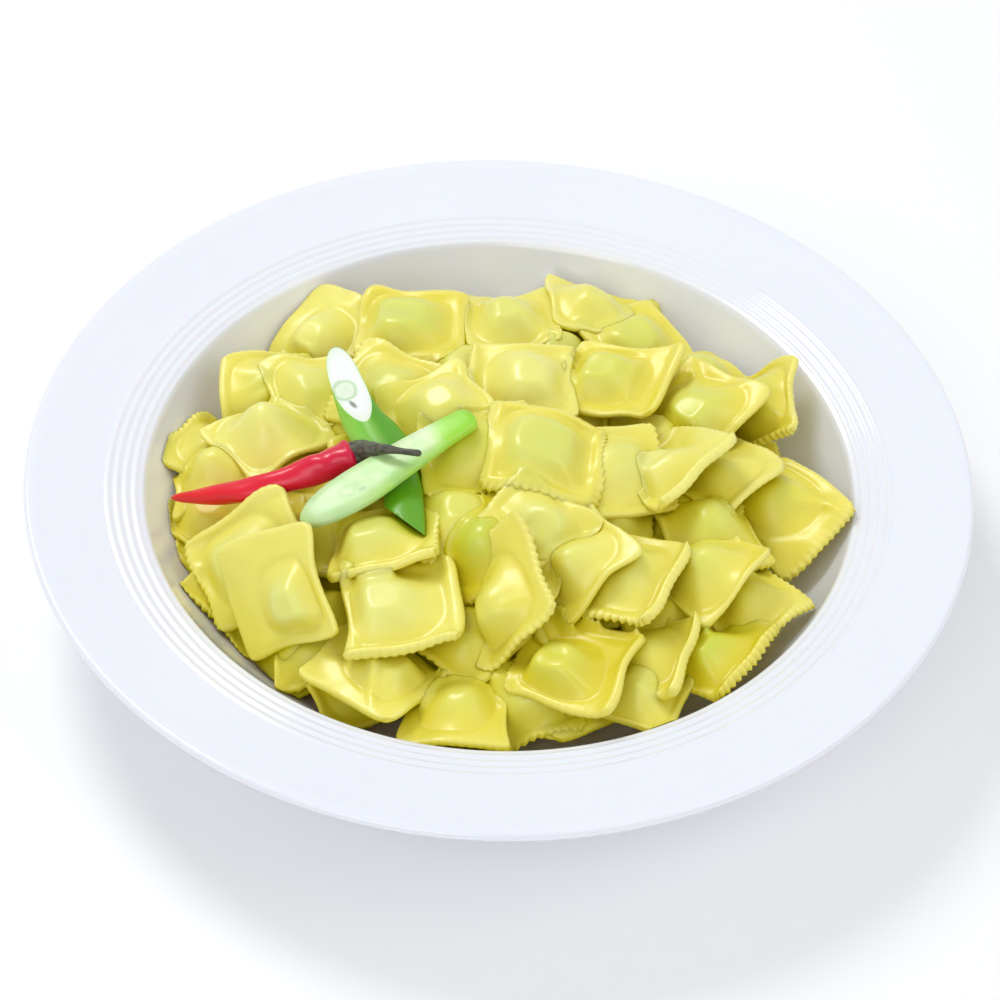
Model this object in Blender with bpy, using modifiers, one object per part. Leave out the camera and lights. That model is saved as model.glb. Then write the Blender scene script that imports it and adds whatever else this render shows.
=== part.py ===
# Ravioli heaped in a wide-rimmed pasta plate, with a red chilli and two diagonal cuts of spring onion.
# Metres, +Z up. The origin is the centre of the plate, on the surface that it stands on.
# The front, where the heap is read from, is -Y.

import math
import random

import bmesh
import bpy
from mathutils import Matrix, Vector

MM = 0.001
PART_NAME = "ravioli_plate"
GAP = 1.0 * MM  # left free between the heap and what it touches
SHORTEST_EDGE = 0.02 * MM

# Plate: a turned shape, given by its radii and heights
PLATE_STEPS = 48
PLATE_RADIUS = 150 * MM
RIM_TOP = 45 * MM
RIM_EDGE_THICKNESS = 3.0 * MM
FLOOR_TOP = 7 * MM
FLOOR_FLAT_RADIUS = 60 * MM
SHOULDER_RADIUS = 113.5 * MM
SHOULDER_TOP = 36.3 * MM
WALL_POWER = 3.6  # how late the flat floor turns up into the wall
WALL_OFFSET_R = 3.2 * MM
WALL_OFFSET_Z = 4.2 * MM
WALL_POINTS = 7
WALL_SPREAD = 0.55  # brings the points of the wall closer together where it is steep
RIM_EDGE_ANGLES = (90, 45, 0, -45, -90)
RIDGE_COUNT = 4
RIDGE_START = 114.6 * MM
RIDGE_PITCH = 2.8 * MM
RIDGE_HEIGHT = 0.55 * MM
FOOT_OUTER = 71 * MM
FOOT_INNER = 65 * MM
FOOT_FLAT = 4 * MM
FOOT_CORNER = 1 * MM
FOOT_RECESS = 2.6 * MM
SPACE_REACH = 14 * MM  # how far the clear space over the well goes out over the rim
SHOULDER_INSET = 0.3 * MM

# Heap: a low dome, steeper towards its edge, that every ravioli is laid on
HEAP_TOP = 50 * MM
HEAP_EDGE_RADIUS = 105 * MM
HEAP_EDGE_DROP = 26 * MM
HEAP_POWER = 2.2
CORE_BELOW = 3.6 * MM
CORE_RADIUS = 90 * MM
CORE_SIDE_TOP_RADIUS = 82 * MM
CORE_SHIFT_Y = 5 * MM
CORE_STEPS = 28
CORE_TOP_SHARES = (0.3, 0.55, 0.78, 1.0)
CORE_EDGE_ABOVE_FLOOR = 2 * MM
CORE_FOOT_INSET = 4 * MM
FLAT_ENOUGH = math.radians(4)  # faces that meet flatter than this become one

# One ravioli, lying flat with its filling upwards
FILLING_TOP = 7.4 * MM
FILLING_BOTTOM = 3.4 * MM
FLANGE_HALF_THICKNESS = 1.1 * MM
FILLING_REACH = 0.80  # where the filling ends, as a share of the half side
FILLING_SLOPE = 0.46
FILLING_SQUARENESS = 3.2
CELL_CUTS = 4
CELL_SPREAD = 0.75  # moves the inner grid lines out towards the flange
CORNER_CURL = 3.2 * MM
BEND = 2.4 * MM
SHEAR = 0.06
STRETCH = 0.05

# name, x, y, lift above the dome, turn about the vertical, lean of the face, side it leans to, side length
# in millimetres and degrees; 0 is +X and -90 is the front
RAVIOLI = [
    ("left_back_low", -76, 36, -3, 12, 26, -30, 35),
    ("left_low", -92, 14, -5, 60, 20, -10, 33),
    ("left_front_low", -90, -14, -5, 40, 15, -170, 33),
    ("front_left_slope", -76, -46, -5, 45, 26, -100, 36),
    ("front_low_a", -40, -78, -7, 30, 10, -60, 34),
    ("front_low_b", 26, -80, -6, 30, 10, -90, 34),
    ("front_low_c", 8, -84, -7, 15, 10, -90, 34),
    ("right_back_low", 66, 52, -1, 30, 14, 30, 35),
    ("under_leek_left", -60, 31, -2, 20, 10, -100, 36),
    ("middle_low", -10, -30, -4, 10, 10, 0, 36),
    ("front_left_low_a", -50, -68, -10, 0, 10, -110, 34),
    ("front_left_low_b", -60, -66, -10, 20, 20, -135, 34),
    ("back_left", -60, 66, 2, -32, 22, -160, 38),
    ("left_edge", -91, 2, -1, 15, 20, -180, 34),
    ("left_valley", -74, -27, -7, 20, 20, -150, 34),
    ("left_behind_chilli", -75, 11, 2, 38, 12, 130, 35),
    ("left_before_chilli", -76, -42, 4, 19, 40, -129, 38),
    ("left_leaning", -65, -59, 10, 7, 56, -132, 37),
    ("behind_leek", -38, 26, -1, -20, 10, -120, 36),
    ("under_slice", -35, -38, 1, 8, 20, 128, 36),
    ("middle_green", -5, -41, -1, 30, 20, -150, 35),
    ("front_folded", -35, -81, 0, 52, 10, 82, 36),
    ("front_square", -29, -65, 4, 9, 3, -100, 37),
    ("front_edge", -10, -90, -2, -2, 8, 90, 38),
    ("back_square", -31, 63, 2, 0, 4, -170, 37),
    ("back_middle", 2, 71, 0, 8, 8, 120, 36),
    ("back_right_low", 45, 66, -1, 35, 10, -40, 34),
    ("back_edge", 32, 82, 2, -3, 18, 52, 37),
    ("beside_leek", -21, 13, 2, 25, 20, -150, 36),
    ("beside_slice", -8, -6, 2, 10, 15, -120, 37),
    ("behind_top", 7, 29, 1, 6, 5, -80, 37),
    ("right_of_top", 37, 35, 1, -14, 8, -140, 37),
    ("right_back", 64, 29, 2, -44, 26, -168, 37),
    ("right_back_edge", 85, 36, 4, -10, 52, -174, 36),
    ("right_tilted", 70, 0, -1, 38, 24, 150, 36),
    ("right_under_top", 37, -9, 1, 15, 15, -20, 36),
    ("right_pale_edge", 54, -6, 3, 44, 30, 150, 36),
    ("right_edge", 90, -11, 3, -46, 26, -155, 37),
    ("right_dark", 68, -24, 0, 20, 12, 20, 35),
    ("right_zigzag", 39, -49, 1, -29, 24, 166, 36),
    ("middle_round", 24, -45, 0, 40, 35, -160, 34),
    ("middle_corner", 12, -38, 2, 55, 25, -70, 33),
    ("top", 14, -9, 6, -9, 10, -42, 38),
    ("right_front_edge", 77, -46, 0, 40, 18, 140, 34),
    ("right_front", 64, -43, 2, 40, 24, 150, 35),
    ("middle_upright", 2, -60, 2, -77, 56, -158, 37),
    ("front_right_edge", 65, -67, 0, -38, 22, 140, 35),
    ("front_right_band", 46, -71, -1, -26, 28, 165, 34),
    ("front_right_low", 42, -83, -1, -24, 14, 120, 34),
    ("front_large", 24, -80, 3, -24, 20, 168, 38),
]

# What sets single ravioli apart: the middle of the filling on the sheet from -1 to 1, its width and height
# against the usual, and how far the left, right, front and back sides draw in between the corners
USUAL_SHAPE = (0.0, 0.0, 1.0, 1.0, 0.05, 0.05, 0.05, 0.05)
SHAPES = {
    "front_left_slope": (0.1, 0.1, 1, 1, 0.05, 0.05, 0.05, 0.05),
    "back_left": (-0.05, -0.38, 0.8, 1.2, 0.03, 0.08, 0.06, 0.03),
    "left_edge": (0, -0.1, 1, 1.2, 0.08, 0.1, 0.12, 0.14),
    "left_behind_chilli": (-0.05, 0, 1, 1.3, 0.12, 0.1, 0.12, 0.12),
    "left_before_chilli": (-0.3, 0.15, 0.9, 0.65, 0.1, 0.02, 0.05, 0.02),
    "left_leaning": (0.42, -0.35, 0.75, 1.1, 0, 0.1, 0.08, 0.02),
    "behind_leek": (0.15, 0.1, 1, 0.9, 0.05, 0.05, 0.05, 0.05),
    "under_slice": (-0.3, -0.25, 1, 1.05, 0.05, 0.05, 0.05, 0.05),
    "middle_green": (0, -0.1, 1, 1.2, 0.05, 0.05, 0.05, 0.05),
    "front_folded": (0.2, -0.3, 0.8, 0.85, 0.12, 0.14, 0.06, 0.04),
    "front_square": (-0.3, 0.1, 1, 0.85, 0.14, 0.02, 0.03, 0.03),
    "front_edge": (0, -0.05, 0.85, 1, 0.2, 0.18, 0.12, 0.1),
    "back_square": (-0.25, 0.1, 1, 0.85, 0.03, 0.03, 0.03, 0.02),
    "back_middle": (-0.08, -0.3, 1, 1.15, 0.1, 0.05, 0.05, 0.14),
    "back_edge": (-0.15, -0.25, 1, 1.1, 0.06, 0.08, 0.05, 0.18),
    "beside_leek": (0.2, -0.1, 1, 1.1, 0.06, 0.12, 0.05, 0.1),
    "beside_slice": (-0.1, 0.1, 1, 0.95, 0.05, 0.05, 0.05, 0.05),
    "behind_top": (0.15, -0.1, 1, 1, 0.05, 0.05, 0.05, 0.05),
    "right_of_top": (-0.3, 0, 0.9, 1.05, 0.05, 0.05, 0.05, 0.05),
    "right_back": (0.3, -0.3, 1, 1.1, 0.05, 0.05, 0.05, 0.05),
    "right_back_edge": (0.1, 0.1, 1, 1, 0.05, 0.05, 0.05, 0.05),
    "right_tilted": (-0.2, -0.1, 1, 1, 0.05, 0.05, 0.05, 0.05),
    "right_under_top": (0.1, 0.1, 1, 1, 0.05, 0.05, 0.05, 0.05),
    "right_pale_edge": (-0.35, 0.05, 0.85, 1.1, 0.08, 0.04, 0, 0.1),
    "right_edge": (-0.45, 0.3, 0.9, 1.15, 0.1, 0, 0.08, 0.03),
    "right_dark": (-0.3, 0, 1.1, 1.1, 0.1, 0.16, 0.06, 0.1),
    "right_zigzag": (0.15, 0.05, 1, 1.1, 0.04, 0, 0, 0.06),
    "middle_round": (-0.1, -0.15, 1, 1.2, 0.1, 0.1, 0.08, 0.12),
    "middle_corner": (0, 0, 1, 1, 0.05, 0.05, 0.05, 0.05),
    "top": (-0.15, 0, 1, 0.8, 0.1, 0.02, 0.02, 0.07),
    "right_front_edge": (-0.1, -0.1, 1, 1, 0.06, 0.12, 0.02, 0.12),
    "right_front": (-0.1, -0.05, 1.1, 1.25, 0.16, 0.12, 0.05, 0.12),
    "middle_upright": (0.35, 0, 0.85, 1.2, 0.04, 0.02, 0.06, 0.02),
    "front_right_edge": (0.1, -0.35, 1, 1.1, 0.06, 0, 0.08, 0.05),
    "front_right_band": (-0.1, -0.2, 1, 1, 0.05, 0.05, 0.05, 0.05),
    "front_right_low": (0.2, -0.2, 1, 1.1, 0.1, 0.06, 0.16, 0.1),
    "front_large": (-0.15, -0.4, 0.85, 1.25, 0.04, 0.03, 0.1, 0.03),
}

# Toppings: hand-laid centre lines, in millimetres
LINE_STEPS = 4
TUBE_ROUNDNESS = 2
CHILLI_LINE = [(-46.6, -11.3, 51.9), (-59, -16, 49), (-74, -20, 45), (-89, -19, 40), (-103, -17, 36)]
CHILLI_RADIUS = 4.7 * MM
CHILLI_TIP_RADIUS = 0.5 * MM
CHILLI_SHOULDER = 0.72  # the radius at the calyx, as a share, which grows to 1 soon after it
CHILLI_SHOULDER_RISE = 5
CHILLI_THINNING = 0.5
CHILLI_TIP_SHARE = 0.24  # the part of the length that rounds off into the tip
STEM_LINE = [
    (-45.5, -10.8, 52.1), (-43.6, -10.1, 52.6), (-40.5, -12.5, 55.5), (-36.5, -16, 60), (-24, -21, 63.5),
]
CALYX_RADIUS = 4.2 * MM
CALYX_SHARE = 0.4  # of the line's length
CALYX_POWER = 0.7
STEM_RADIUS = 1.2 * MM

# x, y, z, half width, half height
ONION_LENGTH_LINE = [
    (-54.5, 30.5, 64, 5.3, 5.2), (-50, 17.9, 56, 5.3, 5.2), (-45.8, 8, 50.4, 5.7, 4.6),
    (-40.5, 1, 48.7, 7.4, 3.6), (-36, -5, 48, 7.6, 3.1), (-32.5, -12, 47.4, 6.6, 2.9),
    (-30.3, -20, 47.8, 6.2, 2.9), (-29.2, -28, 48.4, 6.2, 2.9), (-28, -42, 48.4, 6.2, 2.9),
    (-27.5, -48, 48.4, 6.2, 2.9),
]
ONION_LENGTH_CELLS = (16, 24)
UPPER_CUT = (-50, 17.9, 56)
UPPER_CUT_NORMAL = (0.038, -0.121, 0.991)
UPPER_CUT_FROM_Y = -4 * MM
LOWER_CUT = (-28.5, -37.3, 50.5)
LOWER_CUT_NORMAL = (-0.55, -0.62, -0.56)
ONION_SLICE_LINE = [
    (-59, -38, 49, 3.2, 1.2), (-57, -36.5, 49.8, 5.4, 2.1), (-50, -31.5, 52, 7.0, 2.2),
    (-41, -25, 54, 7.2, 2.2), (-28, -15, 57, 6.2, 2.2), (-17, -6.7, 59.2, 4.9, 2.1),
    (-11, -2.4, 60.3, 4.2, 1.9), (-9, -1, 60.5, 2.4, 1.1),
]
ONION_SLICE_CELLS = (14, 16)
POLE_WIDTH = 0.001  # of a ball of radius 1
SHARP_ANGLE = math.radians(40)

COLOURS = {
    "porcelain": (0.90, 0.91, 0.93, 1.0),
    "pasta": (0.86, 0.70, 0.18, 1.0),
    "chilli": (0.72, 0.02, 0.06, 1.0),
    "chilli_stem": (0.09, 0.09, 0.06, 1.0),
    "onion_green": (0.22, 0.52, 0.06, 1.0),
    "onion_pale": (0.58, 0.80, 0.40, 1.0),
}


def clear_scene():
    for old in list(bpy.data.objects):
        bpy.data.objects.remove(old, do_unlink=True)


def new_collection(name):
    collection = bpy.data.collections.new(name)
    bpy.context.scene.collection.children.link(collection)
    return collection


def new_material(name, roughness):
    material = bpy.data.materials.new(name)
    material.use_nodes = True
    shader = material.node_tree.nodes["Principled BSDF"]
    shader.inputs["Base Color"].default_value = COLOURS[name]
    shader.inputs["Roughness"].default_value = roughness
    shader.inputs["Metallic"].default_value = 0.0
    return material


def add_object(name, mesh, collection, material=None):
    piece = bpy.data.objects.new(name, mesh)
    collection.objects.link(piece)
    if material is not None:
        piece.data.materials.append(material)
    return piece


def mark_as_cutter(piece):
    piece.hide_render = True
    piece.display_type = "WIRE"


def turned(name, profile, steps, collection, material=None):
    # a profile of (radius, height) points spun about Z, read down its outer side
    mesh = bpy.data.meshes.new(name)
    points = [(radius, 0.0, height) for radius, height in profile]
    edges = [(i, i + 1) for i in range(len(points) - 1)]
    mesh.from_pydata(points, edges, [])
    piece = add_object(name, mesh, collection, material)
    screw = piece.modifiers.new("turn", "SCREW")
    screw.axis = "Z"
    screw.angle = 2 * math.pi
    screw.steps = steps
    screw.render_steps = steps
    screw.use_merge_vertices = True
    screw.merge_threshold = 0.00001
    return piece


# Plate

def well_height(radius):
    # the inside of the plate: a flat floor that turns up into a steep wall
    if radius <= FLOOR_FLAT_RADIUS:
        return FLOOR_TOP
    share = (radius - FLOOR_FLAT_RADIUS) / (SHOULDER_RADIUS - FLOOR_FLAT_RADIUS)
    return FLOOR_TOP + (SHOULDER_TOP - FLOOR_TOP) * share ** WALL_POWER


def rim_height(radius):
    share = (radius - SHOULDER_RADIUS) / (PLATE_RADIUS - SHOULDER_RADIUS)
    return SHOULDER_TOP + (RIM_TOP - SHOULDER_TOP) * share


def well_radii():
    span = SHOULDER_RADIUS - FLOOR_FLAT_RADIUS
    return [FLOOR_FLAT_RADIUS + span * (i / WALL_POINTS) ** WALL_SPREAD for i in range(WALL_POINTS + 1)]


def plate_profile():
    profile = [(0.0, FLOOR_TOP)]
    profile += [(radius, well_height(radius)) for radius in well_radii()]
    for half_step in range(2 * RIDGE_COUNT + 1):
        radius = RIDGE_START + half_step * RIDGE_PITCH / 2
        profile.append((radius, rim_height(radius) + RIDGE_HEIGHT * (half_step % 2)))
    edge = RIM_EDGE_THICKNESS / 2
    for degrees in RIM_EDGE_ANGLES:
        angle = math.radians(degrees)
        centre_r = PLATE_RADIUS - edge
        centre_z = RIM_TOP - edge
        profile.append((centre_r + edge * math.cos(angle), centre_z + edge * math.sin(angle)))
    for radius in reversed(well_radii()):
        if radius + WALL_OFFSET_R > FOOT_OUTER + FOOT_FLAT:
            profile.append((radius + WALL_OFFSET_R, well_height(radius) - WALL_OFFSET_Z))
    profile.append((FOOT_OUTER + FOOT_CORNER, FLOOR_TOP - WALL_OFFSET_Z))
    profile.append((FOOT_OUTER, 0.0))
    profile.append((FOOT_OUTER - FOOT_FLAT, 0.0))
    profile.append((FOOT_INNER, FOOT_RECESS))
    profile.append((0.0, FOOT_RECESS))
    return profile


def build_plate(collection, material):
    plate = turned("plate", plate_profile(), PLATE_STEPS, collection, material)
    plate.data.shade_smooth()


def build_well_space(collection):
    # everything above the inside of the plate, short of it by the gap
    profile = [(0.0, 2 * RIM_TOP)]
    outer = SHOULDER_RADIUS + SPACE_REACH
    lift = GAP + RIDGE_HEIGHT
    profile.append((outer, 2 * RIM_TOP))
    profile.append((outer, rim_height(outer) + lift))
    profile.append((SHOULDER_RADIUS - SHOULDER_INSET, SHOULDER_TOP + lift))
    for radius in reversed(well_radii()[:-1]):
        inward = GAP if radius > CORE_RADIUS else 0.0
        profile.append((radius - inward, well_height(radius) + lift))
    profile.append((0.0, FLOOR_TOP + lift))
    space = turned("well_space", profile, PLATE_STEPS, collection)
    mark_as_cutter(space)
    return space


# Heap

def dome_height(radius):
    return HEAP_TOP - HEAP_EDGE_DROP * (radius / HEAP_EDGE_RADIUS) ** HEAP_POWER


def build_core(collection, material):
    # what fills the plate under the ravioli that show
    profile = [(0.0, dome_height(0.0) - CORE_BELOW)]
    for share in CORE_TOP_SHARES:
        radius = CORE_SIDE_TOP_RADIUS * share
        profile.append((radius, dome_height(radius) - CORE_BELOW))
    profile.append((CORE_RADIUS, FLOOR_TOP + CORE_EDGE_ABOVE_FLOOR))
    profile.append((CORE_RADIUS - CORE_FOOT_INSET, FLOOR_TOP / 2))
    profile.append((0.0, FLOOR_TOP / 2))
    core = turned("ravioli_heap", profile, CORE_STEPS, collection, material)
    core.location.y = CORE_SHIFT_Y
    return core


def filling_share(away_u, away_v, wide):
    # 1 over the filling, 0 on the flange, with a rounded square between them
    power = FILLING_SQUARENESS
    reach = (abs(away_u) ** power + abs(away_v) ** power) ** (1 / power) / wide
    share = min(1.0, max(0.0, (FILLING_REACH - reach) / FILLING_SLOPE))
    return share * share * (3.0 - 2.0 * share)


def from_middle(middle, away):
    # a place on the sheet, from how far it is from the middle of the filling towards the edge
    return middle + away * (1 - math.copysign(middle, away))


def ravioli_mesh(name, side):
    # two pressed sheets round a filling; each piece is pulled and curled its own way
    draw = random.Random(name)
    stretch = draw.uniform(-STRETCH, STRETCH)
    shear = draw.uniform(-SHEAR, SHEAR)
    bend_u = draw.uniform(-BEND, BEND / 3)
    bend_v = draw.uniform(-BEND, BEND / 3)
    corners = {(i, j): draw.uniform(-CORNER_CURL, CORNER_CURL) for i in (-1, 1) for j in (-1, 1)}
    bump_u, bump_v, wide, high, left, right, front, back = SHAPES.get(name, USUAL_SHAPE)

    bm = bmesh.new()
    bmesh.ops.create_cube(bm, size=2.0)
    level = [e for e in bm.edges if abs(e.verts[0].co.z - e.verts[1].co.z) < 0.5]
    bmesh.ops.subdivide_edges(bm, edges=level, cuts=CELL_CUTS, use_grid_fill=True)
    for vert in bm.verts:
        away_u = math.copysign(abs(vert.co.x) ** CELL_SPREAD, vert.co.x)
        away_v = math.copysign(abs(vert.co.y) ** CELL_SPREAD, vert.co.y)
        u = from_middle(bump_u, away_u)
        v = from_middle(bump_v, away_v)
        filling = FILLING_TOP * high if vert.co.z > 0 else FILLING_BOTTOM
        share = filling_share(away_u, away_v, wide)
        height = FLANGE_HALF_THICKNESS + (filling - FLANGE_HALF_THICKNESS) * share
        curl = bend_u * u * u + bend_v * v * v
        for (i, j), lift in corners.items():
            curl += lift * ((1 + i * u) * (1 + j * v) / 4) ** 2
        pull_u = (right if u > 0 else left) * (1 - v * v) * u * u
        pull_v = (back if v > 0 else front) * (1 - u * u) * v * v
        x = u * (1 + stretch) * (1 - pull_u) + shear * v
        y = v * (1 - stretch) * (1 - pull_v) + shear * u
        vert.co = (x * side / 2, y * side / 2, math.copysign(height, vert.co.z) + curl)
    bmesh.ops.triangulate(bm, faces=bm.faces)
    mesh = bpy.data.meshes.new(name)
    bm.to_mesh(mesh)
    bm.free()
    return mesh


def ravioli_placement(x, y, lift, turn, lean, lean_to):
    # turned on the spot first, then its face leans over to one side of the heap
    z = dome_height(math.hypot(x, y)) + lift
    side = math.radians(lean_to)
    tilt = Matrix.Rotation(math.radians(lean), 4, Vector((-math.sin(side), math.cos(side), 0.0)))
    return Matrix.Translation((x, y, z)) @ tilt @ Matrix.Rotation(math.radians(turn), 4, "Z")


def build_ravioli(collection):
    for name, x, y, lift, turn, lean, lean_to, side in RAVIOLI:
        piece = add_object(name, ravioli_mesh(name, side * MM), collection)
        piece.matrix_world = ravioli_placement(x * MM, y * MM, lift * MM, turn, lean, lean_to)


def add_boolean(piece, operation, cutter=None, collection=None):
    boolean = piece.modifiers.new(operation.lower(), "BOOLEAN")
    boolean.operation = operation
    boolean.solver = "EXACT"
    if collection is None:
        boolean.object = cutter
    else:
        boolean.operand_type = "COLLECTION"
        boolean.collection = collection


def apply_modifiers(piece):
    depsgraph = bpy.context.evaluated_depsgraph_get()
    mesh = bpy.data.meshes.new_from_object(piece.evaluated_get(depsgraph))
    mesh.transform(piece.matrix_world)
    piece.matrix_world = Matrix.Identity(4)
    piece.modifiers.clear()
    piece.data = mesh


def shells_of(bm):
    # the connected shells of a mesh, as lists of faces
    waiting = set(bm.faces)
    shells = []
    while waiting:
        start = waiting.pop()
        shell = [start]
        for face in shell:
            for edge in face.edges:
                for other in edge.link_faces:
                    if other in waiting:
                        waiting.remove(other)
                        shell.append(other)
        shells.append(shell)
    return shells


def keep_outer_shell(mesh):
    # sealed hollows and loose scraps go, and faces that meet nearly flat become one
    bm = bmesh.new()
    bm.from_mesh(mesh)
    bmesh.ops.triangulate(bm, faces=bm.faces)
    bmesh.ops.dissolve_degenerate(bm, dist=SHORTEST_EDGE, edges=bm.edges)
    bmesh.ops.dissolve_limit(bm, angle_limit=FLAT_ENOUGH, verts=bm.verts, edges=bm.edges)
    bmesh.ops.triangulate(bm, faces=bm.faces)
    shells = sorted(shells_of(bm), key=len, reverse=True)
    for shell in shells[1:]:
        bmesh.ops.delete(bm, geom=shell, context="FACES")
    bm.to_mesh(mesh)
    bm.free()


def build_heap(parts, cutters, material, toppings):
    core = build_core(parts, material)
    pieces = new_collection("ravioli_pieces")
    build_ravioli(pieces)
    add_boolean(core, "UNION", collection=pieces)
    add_boolean(core, "INTERSECT", cutter=build_well_space(cutters))
    add_boolean(core, "DIFFERENCE", collection=toppings)
    apply_modifiers(core)
    for piece in list(pieces.objects):
        bpy.data.objects.remove(piece, do_unlink=True)
    bpy.data.collections.remove(pieces)
    keep_outer_shell(core.data)
    core.data.materials.clear()
    core.data.materials.append(material)
    return core


# Toppings

def smooth_line(points, steps):
    # an even, smooth path through hand-laid points
    ends = [2 * points[0] - points[1]] + points + [2 * points[-1] - points[-2]]
    path = []
    for i in range(len(points) - 1):
        before, start, end, after = ends[i:i + 4]
        for step in range(steps):
            t = step / steps
            path.append(0.5 * (2 * start + (end - before) * t
                               + (2 * before - 5 * start + 4 * end - after) * t ** 2
                               + (3 * start - before - 3 * end + after) * t ** 3))
    path.append(points[-1])
    return path


def tube_mesh(name, points, radius_at):
    # a tube of changing radius along a smooth path, as a welded mesh
    path = smooth_line([Vector(point) * MM for point in points], LINE_STEPS)
    curve = bpy.data.curves.new(name, "CURVE")
    curve.dimensions = "3D"
    curve.bevel_depth = 1.0
    curve.bevel_resolution = TUBE_ROUNDNESS
    curve.use_fill_caps = True
    spline = curve.splines.new("POLY")
    spline.points.add(len(path) - 1)
    for i, (point, place) in enumerate(zip(spline.points, path)):
        point.co = (*place, 1.0)
        point.radius = radius_at(i / (len(path) - 1))
    guide = bpy.data.objects.new(name, curve)
    bpy.context.scene.collection.objects.link(guide)
    depsgraph = bpy.context.evaluated_depsgraph_get()
    mesh = bpy.data.meshes.new_from_object(guide.evaluated_get(depsgraph))
    mesh.transform(guide.matrix_world)
    bpy.data.objects.remove(guide, do_unlink=True)
    bm = bmesh.new()
    bm.from_mesh(mesh)
    bmesh.ops.remove_doubles(bm, verts=bm.verts, dist=0.01 * MM)
    bmesh.ops.recalc_face_normals(bm, faces=bm.faces)
    bm.to_mesh(mesh)
    bm.free()
    return mesh


def chilli_mesh(name, extra):
    def radius_at(t):
        shoulder = min(1.0, CHILLI_SHOULDER + CHILLI_SHOULDER_RISE * t)
        into_tip = max(0.0, t - 1 + CHILLI_TIP_SHARE) / CHILLI_TIP_SHARE
        radius = CHILLI_RADIUS * (1 - CHILLI_THINNING * t) * shoulder * math.sqrt(1 - into_tip ** 2)
        return max(radius, CHILLI_TIP_RADIUS) + extra
    return tube_mesh(name, CHILLI_LINE, radius_at)


def stem_mesh(name, extra):
    def radius_at(t):
        # the cap of the calyx narrows fast into a thin stalk
        narrowing = max(0.0, 1 - t / CALYX_SHARE) ** CALYX_POWER
        return STEM_RADIUS + (CALYX_RADIUS - STEM_RADIUS) * narrowing + extra
    return tube_mesh(name, STEM_LINE, radius_at)


def body_mesh(name, line, cells, extra):
    # a ball drawn out along a line, whose poles become the two ends
    path = smooth_line([Vector(point[:3]) * MM for point in line], LINE_STEPS)
    halves = smooth_line([Vector((wide * MM, high * MM, 0)) for x, y, z, wide, high in line], LINE_STEPS)
    bm = bmesh.new()
    bmesh.ops.create_uvsphere(bm, u_segments=cells[0], v_segments=cells[1], radius=1.0)
    for vert in bm.verts:
        share = math.acos(max(-1.0, min(1.0, vert.co.z))) / math.pi * (len(path) - 1)
        start = min(int(share), len(path) - 2)
        centre = path[start].lerp(path[start + 1], share - start)
        wide, high, rest = halves[start].lerp(halves[start + 1], share - start)
        along = (path[start + 1] - path[start]).normalized()
        aside = along.cross(Vector((0, 0, 1))).normalized()
        above = aside.cross(along)
        angle = math.atan2(vert.co.y, vert.co.x)
        if math.hypot(vert.co.x, vert.co.y) < POLE_WIDTH:
            vert.co = centre - along * math.copysign(extra, vert.co.z)
        else:
            across = aside * math.cos(angle) * (wide + extra)
            vert.co = centre + across + above * math.sin(angle) * (high + extra)
    bmesh.ops.recalc_face_normals(bm, faces=bm.faces)
    mesh = bpy.data.meshes.new(name)
    bm.to_mesh(mesh)
    bm.free()
    return mesh


def cut_off(mesh, place, normal, extra, from_y):
    # takes away what lies past a plane, behind a line across it, and closes the cut
    bm = bmesh.new()
    bm.from_mesh(mesh)
    normal = Vector(normal).normalized()
    verts = [vert for vert in bm.verts if vert.co.y > from_y]
    near = set(verts)
    edges = [edge for edge in bm.edges if near.issuperset(edge.verts)]
    faces = [face for face in bm.faces if near.issuperset(face.verts)]
    bmesh.ops.bisect_plane(bm, geom=verts + edges + faces, plane_co=Vector(place) * MM + normal * extra,
                           plane_no=normal, clear_outer=True)
    rim = [edge for edge in bm.edges if edge.is_boundary]
    bmesh.ops.contextual_create(bm, geom=rim)
    bmesh.ops.recalc_face_normals(bm, faces=bm.faces)
    bm.to_mesh(mesh)
    bm.free()


def onion_length_mesh(name, extra):
    mesh = body_mesh(name, ONION_LENGTH_LINE, ONION_LENGTH_CELLS, extra)
    cut_off(mesh, UPPER_CUT, UPPER_CUT_NORMAL, extra, UPPER_CUT_FROM_Y)
    cut_off(mesh, LOWER_CUT, LOWER_CUT_NORMAL, extra, -PLATE_RADIUS)
    return mesh


def onion_slice_mesh(name, extra):
    return body_mesh(name, ONION_SLICE_LINE, ONION_SLICE_CELLS, extra)


TOPPINGS = {
    "chilli_pod": (chilli_mesh, "chilli"),
    "chilli_stem": (stem_mesh, "chilli_stem"),
    "spring_onion_length": (onion_length_mesh, "onion_green"),
    "spring_onion_slice": (onion_slice_mesh, "onion_pale"),
}


def build_toppings(parts, cutters):
    # each topping, and a copy of it larger by the gap that clears its bed in the heap
    for name, (make_mesh, colour) in TOPPINGS.items():
        piece = add_object(name, make_mesh(name, 0.0), parts, new_material(colour, 0.3))
        piece.data.shade_smooth()
        piece.data.set_sharp_from_angle(angle=SHARP_ANGLE)
        bed = add_object(name + "_bed", make_mesh(name + "_bed", GAP), cutters)
        mark_as_cutter(bed)


def build():
    clear_scene()
    parts = new_collection(PART_NAME)
    cutters = new_collection("cutters")
    beds = bpy.data.collections.new("topping_beds")
    cutters.children.link(beds)
    build_plate(parts, new_material("porcelain", 0.12))
    build_toppings(parts, beds)
    build_heap(parts, cutters, new_material("pasta", 0.35), beds)


build()
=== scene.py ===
import math
import random
import bmesh
import bpy
import numpy as np
from mathutils import Matrix, Vector
from mathutils.bvhtree import BVHTree


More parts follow.
